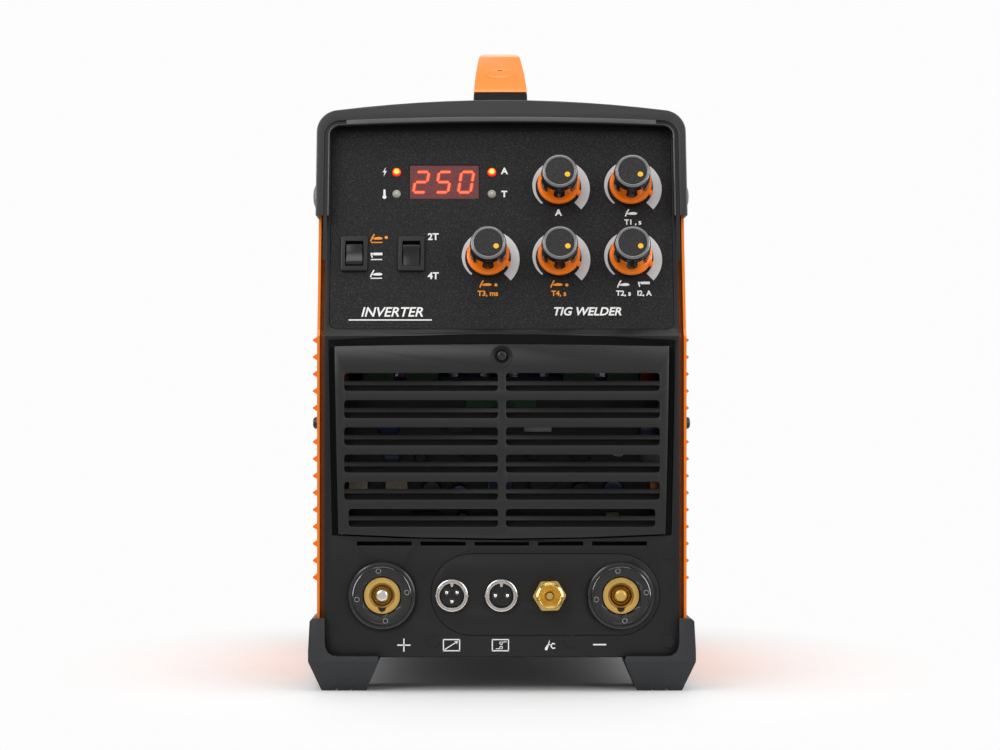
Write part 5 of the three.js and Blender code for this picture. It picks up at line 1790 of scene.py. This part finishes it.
@dataclass
class Interior:
    """What shows through the grille: rows of parts on a board, and a screen behind them, both black as painted
    shade for the dark inside.
    """

    finishes: Finishes
    seed: int = 7
    rows: tuple[float, ...] = (92.0, 112.0, 132.0, 150.0)
    columns: int = 9
    front: float = -196.0
    palette: tuple[tuple[str, float], ...] = (
        ("capacitor sleeve", 0.12), ("ferrite", 0.35), ("insert black", 0.5), ("copper winding", 0.6),
        ("red part", 0.64), ("cream part", 0.74), ("aluminium", 0.9), ("dark steel", 1.0),
    )

    def build(self) -> None:
        """Sets out the parts, the black screen and the black board, both painted shade."""
        draw = random.Random(self.seed)
        parts = []
        for row in self.rows:
            for column in range(self.columns):
                x = -84 + 21 * column + draw.uniform(-4, 4)
                parts.append(self._part(draw, x, row + draw.uniform(-3, 3)))
        mount(joined("inner_parts", parts), None, "ferrite", CHASSIS)
        # A black screen further in: painted shade inside the machine.
        screen = block("inner_painted_shade_screen", (186, 2, 110), 0.5)
        settle(screen, Matrix.Translation((0, 68 * MM, 113 * MM)))
        mount(screen, self.finishes["insert black"], "dark_steel", CHASSIS)
        self._painted_shade_board()

    def _painted_shade_board(self) -> None:
        """A board right behind the parts, black as painted shade of the dark inside."""
        wall = block("inner_painted_shade_board", (180, 1.6, 92), 0.3)
        settle(wall, Matrix.Translation((0, (self.front + 24) * MM, 122 * MM)))
        mount(wall, self.finishes["insert black"], "circuit_board", CHASSIS)

    def _part(self, draw: random.Random, x: float, z: float) -> bpy.types.Object:
        """One part: a can, a coil or a block, standing towards the front."""
        pick_at = draw.random()
        name = next(name for name, share in self.palette if pick_at <= share)
        depth = draw.uniform(10, 22)
        if draw.random() < 0.55:
            r = draw.uniform(3.5, 8)
            part = turned(
                "can",
                [
                    (0, 0), (r, 0), (r, depth - 0.6), (r - 0.6, depth), (r * 0.7, depth - 0.4),
                    (0, depth - 0.4)
                ],
                24
            )
        else:
            part = block("slab", (draw.uniform(6, 16), draw.uniform(5, 13), depth), 0.5)
            placed(part, 0, 0, depth / 2)
        dress(smoothed(part, 30), self.finishes[name])
        return settle(part, front_place(x * MM, (self.front + 23) * MM, z * MM))


@dataclass
class Rear:
    """The refined fan, switch, gland and fittings of the rear, with their plain marks."""

    finishes: Finishes
    pen: Print

    def build(self) -> None:
        """Refines the rear nodes and prints the marks."""
        jobs = (
            ("fan_housing", "fan black", 0.0, 30.0), ("fan_rotor", "fan black", 0.15, 30.0),
            ("power_switch_housing", "switch black", 0.5, 30.0),
            ("power_switch_rocker", "switch black", 0.4, 40.0),
            ("mains_gland", "gland black", 0.3, 35.0), ("gas_inlet", "brass", 0.15, 35.0),
            ("earth_stud", "brass", 0.2, 35.0),
        )
        for node, finish, bevel, angle in jobs:
            refined(node, self.finishes[finish], SLOT_OF[node], bevel, angle)
        self._marks()

    def _marks(self) -> None:
        """White marks beside the fittings: power, gas and earth."""
        pen = self.pen
        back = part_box("rear_panel")[1].y
        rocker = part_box("power_switch_housing")
        inlet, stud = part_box("gas_inlet"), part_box("earth_stud")
        switch_x, switch_z = self._middle(rocker)
        gas_x, gas_z = self._middle(inlet)
        earth_x, earth_z = self._middle(stud)
        marks = [
            placed(pen.word("POWER", 4.0, 0.12), -switch_x, switch_z - 24),
            placed(pen.word("GAS", 4.0, 0.12), -gas_x, gas_z - 15),
            placed(pen.line([(0, 4), (0, 0)], 0.6), -earth_x, earth_z + 11),
            placed(pen.line([(-3.4, 0), (3.4, 0)], 0.6), -earth_x, earth_z + 11),
            placed(pen.line([(-2.2, -1.3), (2.2, -1.3)], 0.6), -earth_x, earth_z + 11),
            placed(pen.line([(-1, -2.6), (1, -2.6)], 0.6), -earth_x, earth_z + 11),
        ]
        face = Matrix.Translation((0, back, 0)) @ Matrix.Rotation(math.pi, 4, "Z") @ Matrix.Rotation(
            math.pi / 2, 4, "X"
        )
        sheet = settle(joined("rear_signs", marks), face)
        mount(sheet, self.finishes["white print"], "dark_steel", CHASSIS)

    @staticmethod
    def _middle(box: tuple[Vector, Vector]) -> Point:
        """The middle of a box seen from behind, in millimetres."""
        low, high = box
        return (low.x + high.x) / 2 / MM, (low.z + high.z) / 2 / MM




# ---------------------------------------------------------------- stage

@dataclass
class Stage:
    """The plain floor and backdrop, the soft lights and the camera."""

    floor_grey: float = 0.7
    floor_near: float = 0.25
    floor_far: float = 0.5
    lens: float = 110.0
    distance: float = 1.7
    eye_height: float = 0.145
    eye_side: float = -0.0205
    sky_light: float = 0.5
    sky_seen: float = 0.98

    def build(self) -> None:
        """Makes the floor, the lights, the sky and the camera."""
        self._floor()
        self._lights()
        self._sky()
        self._camera()

    def _floor(self) -> None:
        """A flat pale floor that fades into the backdrop away from the object."""
        clear_selection()
        bpy.ops.mesh.primitive_plane_add(size=12, location=(0, 0, 0))
        floor = bpy.context.active_object
        floor.name = "studio_floor"
        edit_all(floor)
        bpy.ops.mesh.select_all(action="DESELECT")
        clear_selection()
        finish = Finish("floor", (self.floor_grey,) * 3, 0.6, grain=40, relief=0.02, drift=0.02, marks=0.0)
        dress(floor, self._fade(finish.build()))
        settle(floor)

    def _fade(self, material: bpy.types.Material) -> bpy.types.Material:
        """Lets the floor fade into the backdrop away from the object."""
        tree = material.node_tree
        reach = tree.nodes.new("ShaderNodeVectorMath")
        reach.operation = "LENGTH"
        squeeze = tree.nodes.new("ShaderNodeMapping")
        squeeze.inputs["Scale"].default_value = (1.8, 1, 1)
        tree.links.new(tree.nodes.new("ShaderNodeTexCoord").outputs["Object"], squeeze.inputs["Vector"])
        tree.links.new(squeeze.outputs["Vector"], reach.inputs[0])
        glow = tree.nodes.new("ShaderNodeEmission")
        camera_ray = tree.nodes.new("ShaderNodeLightPath").outputs["Is Camera Ray"]
        tree.links.new(ramp(tree, camera_ray, 0, 1, self.sky_light, self.sky_seen), glow.inputs["Strength"])
        mix = tree.nodes.new("ShaderNodeMixShader")
        tree.links.new(ramp(tree, reach.outputs["Value"], self.floor_near, self.floor_far), mix.inputs["Fac"])
        tree.links.new(tree.nodes["Principled BSDF"].outputs["BSDF"], mix.inputs[1])
        tree.links.new(glow.outputs["Emission"], mix.inputs[2])
        tree.links.new(mix.outputs["Shader"], tree.nodes["Material Output"].inputs["Surface"])
        return material

    def _lights(self) -> None:
        """Two big soft boxes in front, a top panel, a strip from each side and one from behind."""
        self._panel("key_light", (-1.3, -2.1, 1.5), 1.5, 1.5, 20)
        self._panel("fill_light", (1.5, -1.9, 0.9), 1.4, 1.4, 13)
        self._panel("top_light", (0.0, -0.2, 2.0), 1.6, 1.6, 18)
        self._panel("left_strip", (-1.4, -0.15, 0.45), 0.4, 1.4, 16)
        self._panel("right_strip", (1.4, -0.15, 0.45), 0.4, 1.4, 16)
        self._panel("back_light", (0.0, 2.4, 1.2), 2.0, 1.2, 12)

    def _panel(
        self, name: str, place: tuple[float, float, float], width: float, height: float, power: float
    ) -> None:
        """An area light aimed at the middle of the object.

        Args:
            name: Name of the light.
            place: Where it stands, in metres.
            width: Width of its face.
            height: Height of its face.
            power: Watts.
        """
        data = bpy.data.lights.new(name, "AREA")
        data.shape = "RECTANGLE"
        data.size = width
        data.size_y = height
        data.energy = power
        light = bpy.data.objects.new(name, data)
        bpy.context.scene.collection.objects.link(light)
        light.location = place
        aim = Vector((0, 0, 0.18)) - Vector(place)
        light.rotation_euler = aim.to_track_quat("-Z", "Y").to_euler()

    def _sky(self) -> None:
        """An even pale sky, which lights the object less than it shows."""
        world = bpy.data.worlds.new("studio")
        bpy.context.scene.world = world
        world.use_nodes = True
        tree = world.node_tree
        background = tree.nodes["Background"]
        background.inputs["Color"].default_value = (1, 1, 1, 1)
        seen = ramp(
            tree, tree.nodes.new("ShaderNodeLightPath").outputs["Is Camera Ray"], 0, 1, self.sky_light,
            self.sky_seen
        )
        tree.links.new(seen, background.inputs["Strength"])
        bpy.context.scene.view_settings.view_transform = "Standard"

    def _camera(self) -> None:
        """A long lens at sill height, level, with a small shift."""
        data = bpy.data.cameras.new("camera")
        data.lens = self.lens
        data.sensor_width = 36
        data.shift_x = 0.035
        data.shift_y = 0.055
        data.clip_end = 50
        camera = bpy.data.objects.new("camera", data)
        bpy.context.scene.collection.objects.link(camera)
        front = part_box("front_fascia")[0].y
        camera.location = (self.eye_side, front - self.distance, self.eye_height)
        camera.rotation_euler = (math.pi / 2, 0, 0)
        bpy.context.scene.camera = camera


def write_sizes() -> None:
    """Updates the view layer."""
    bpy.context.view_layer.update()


def main() -> None:
    """Builds the machine, sub-assembly by sub-assembly, and the stage."""
    logging.basicConfig(level=logging.INFO, format="%(name)s: %(message)s")
    finishes = Finishes()
    pen = Print()
    assemblies = (
        Body(finishes),
        Knobs(finishes),
        Display(finishes),
        Lamps(finishes),
        PanelPrints(finishes, pen),
        PlatePrints(finishes, pen),
        PanelSwitches(finishes),
        Connectors(finishes),
        FrontGuard(finishes),
        Fixings(finishes),
        Interior(finishes),
        Rear(finishes, pen),
    )
    for assembly in assemblies:
        LOG.info("building %s", type(assembly).__name__)
        assembly.build()
    Stage().build()
    write_sizes()


if __name__ == "__main__":
    main()
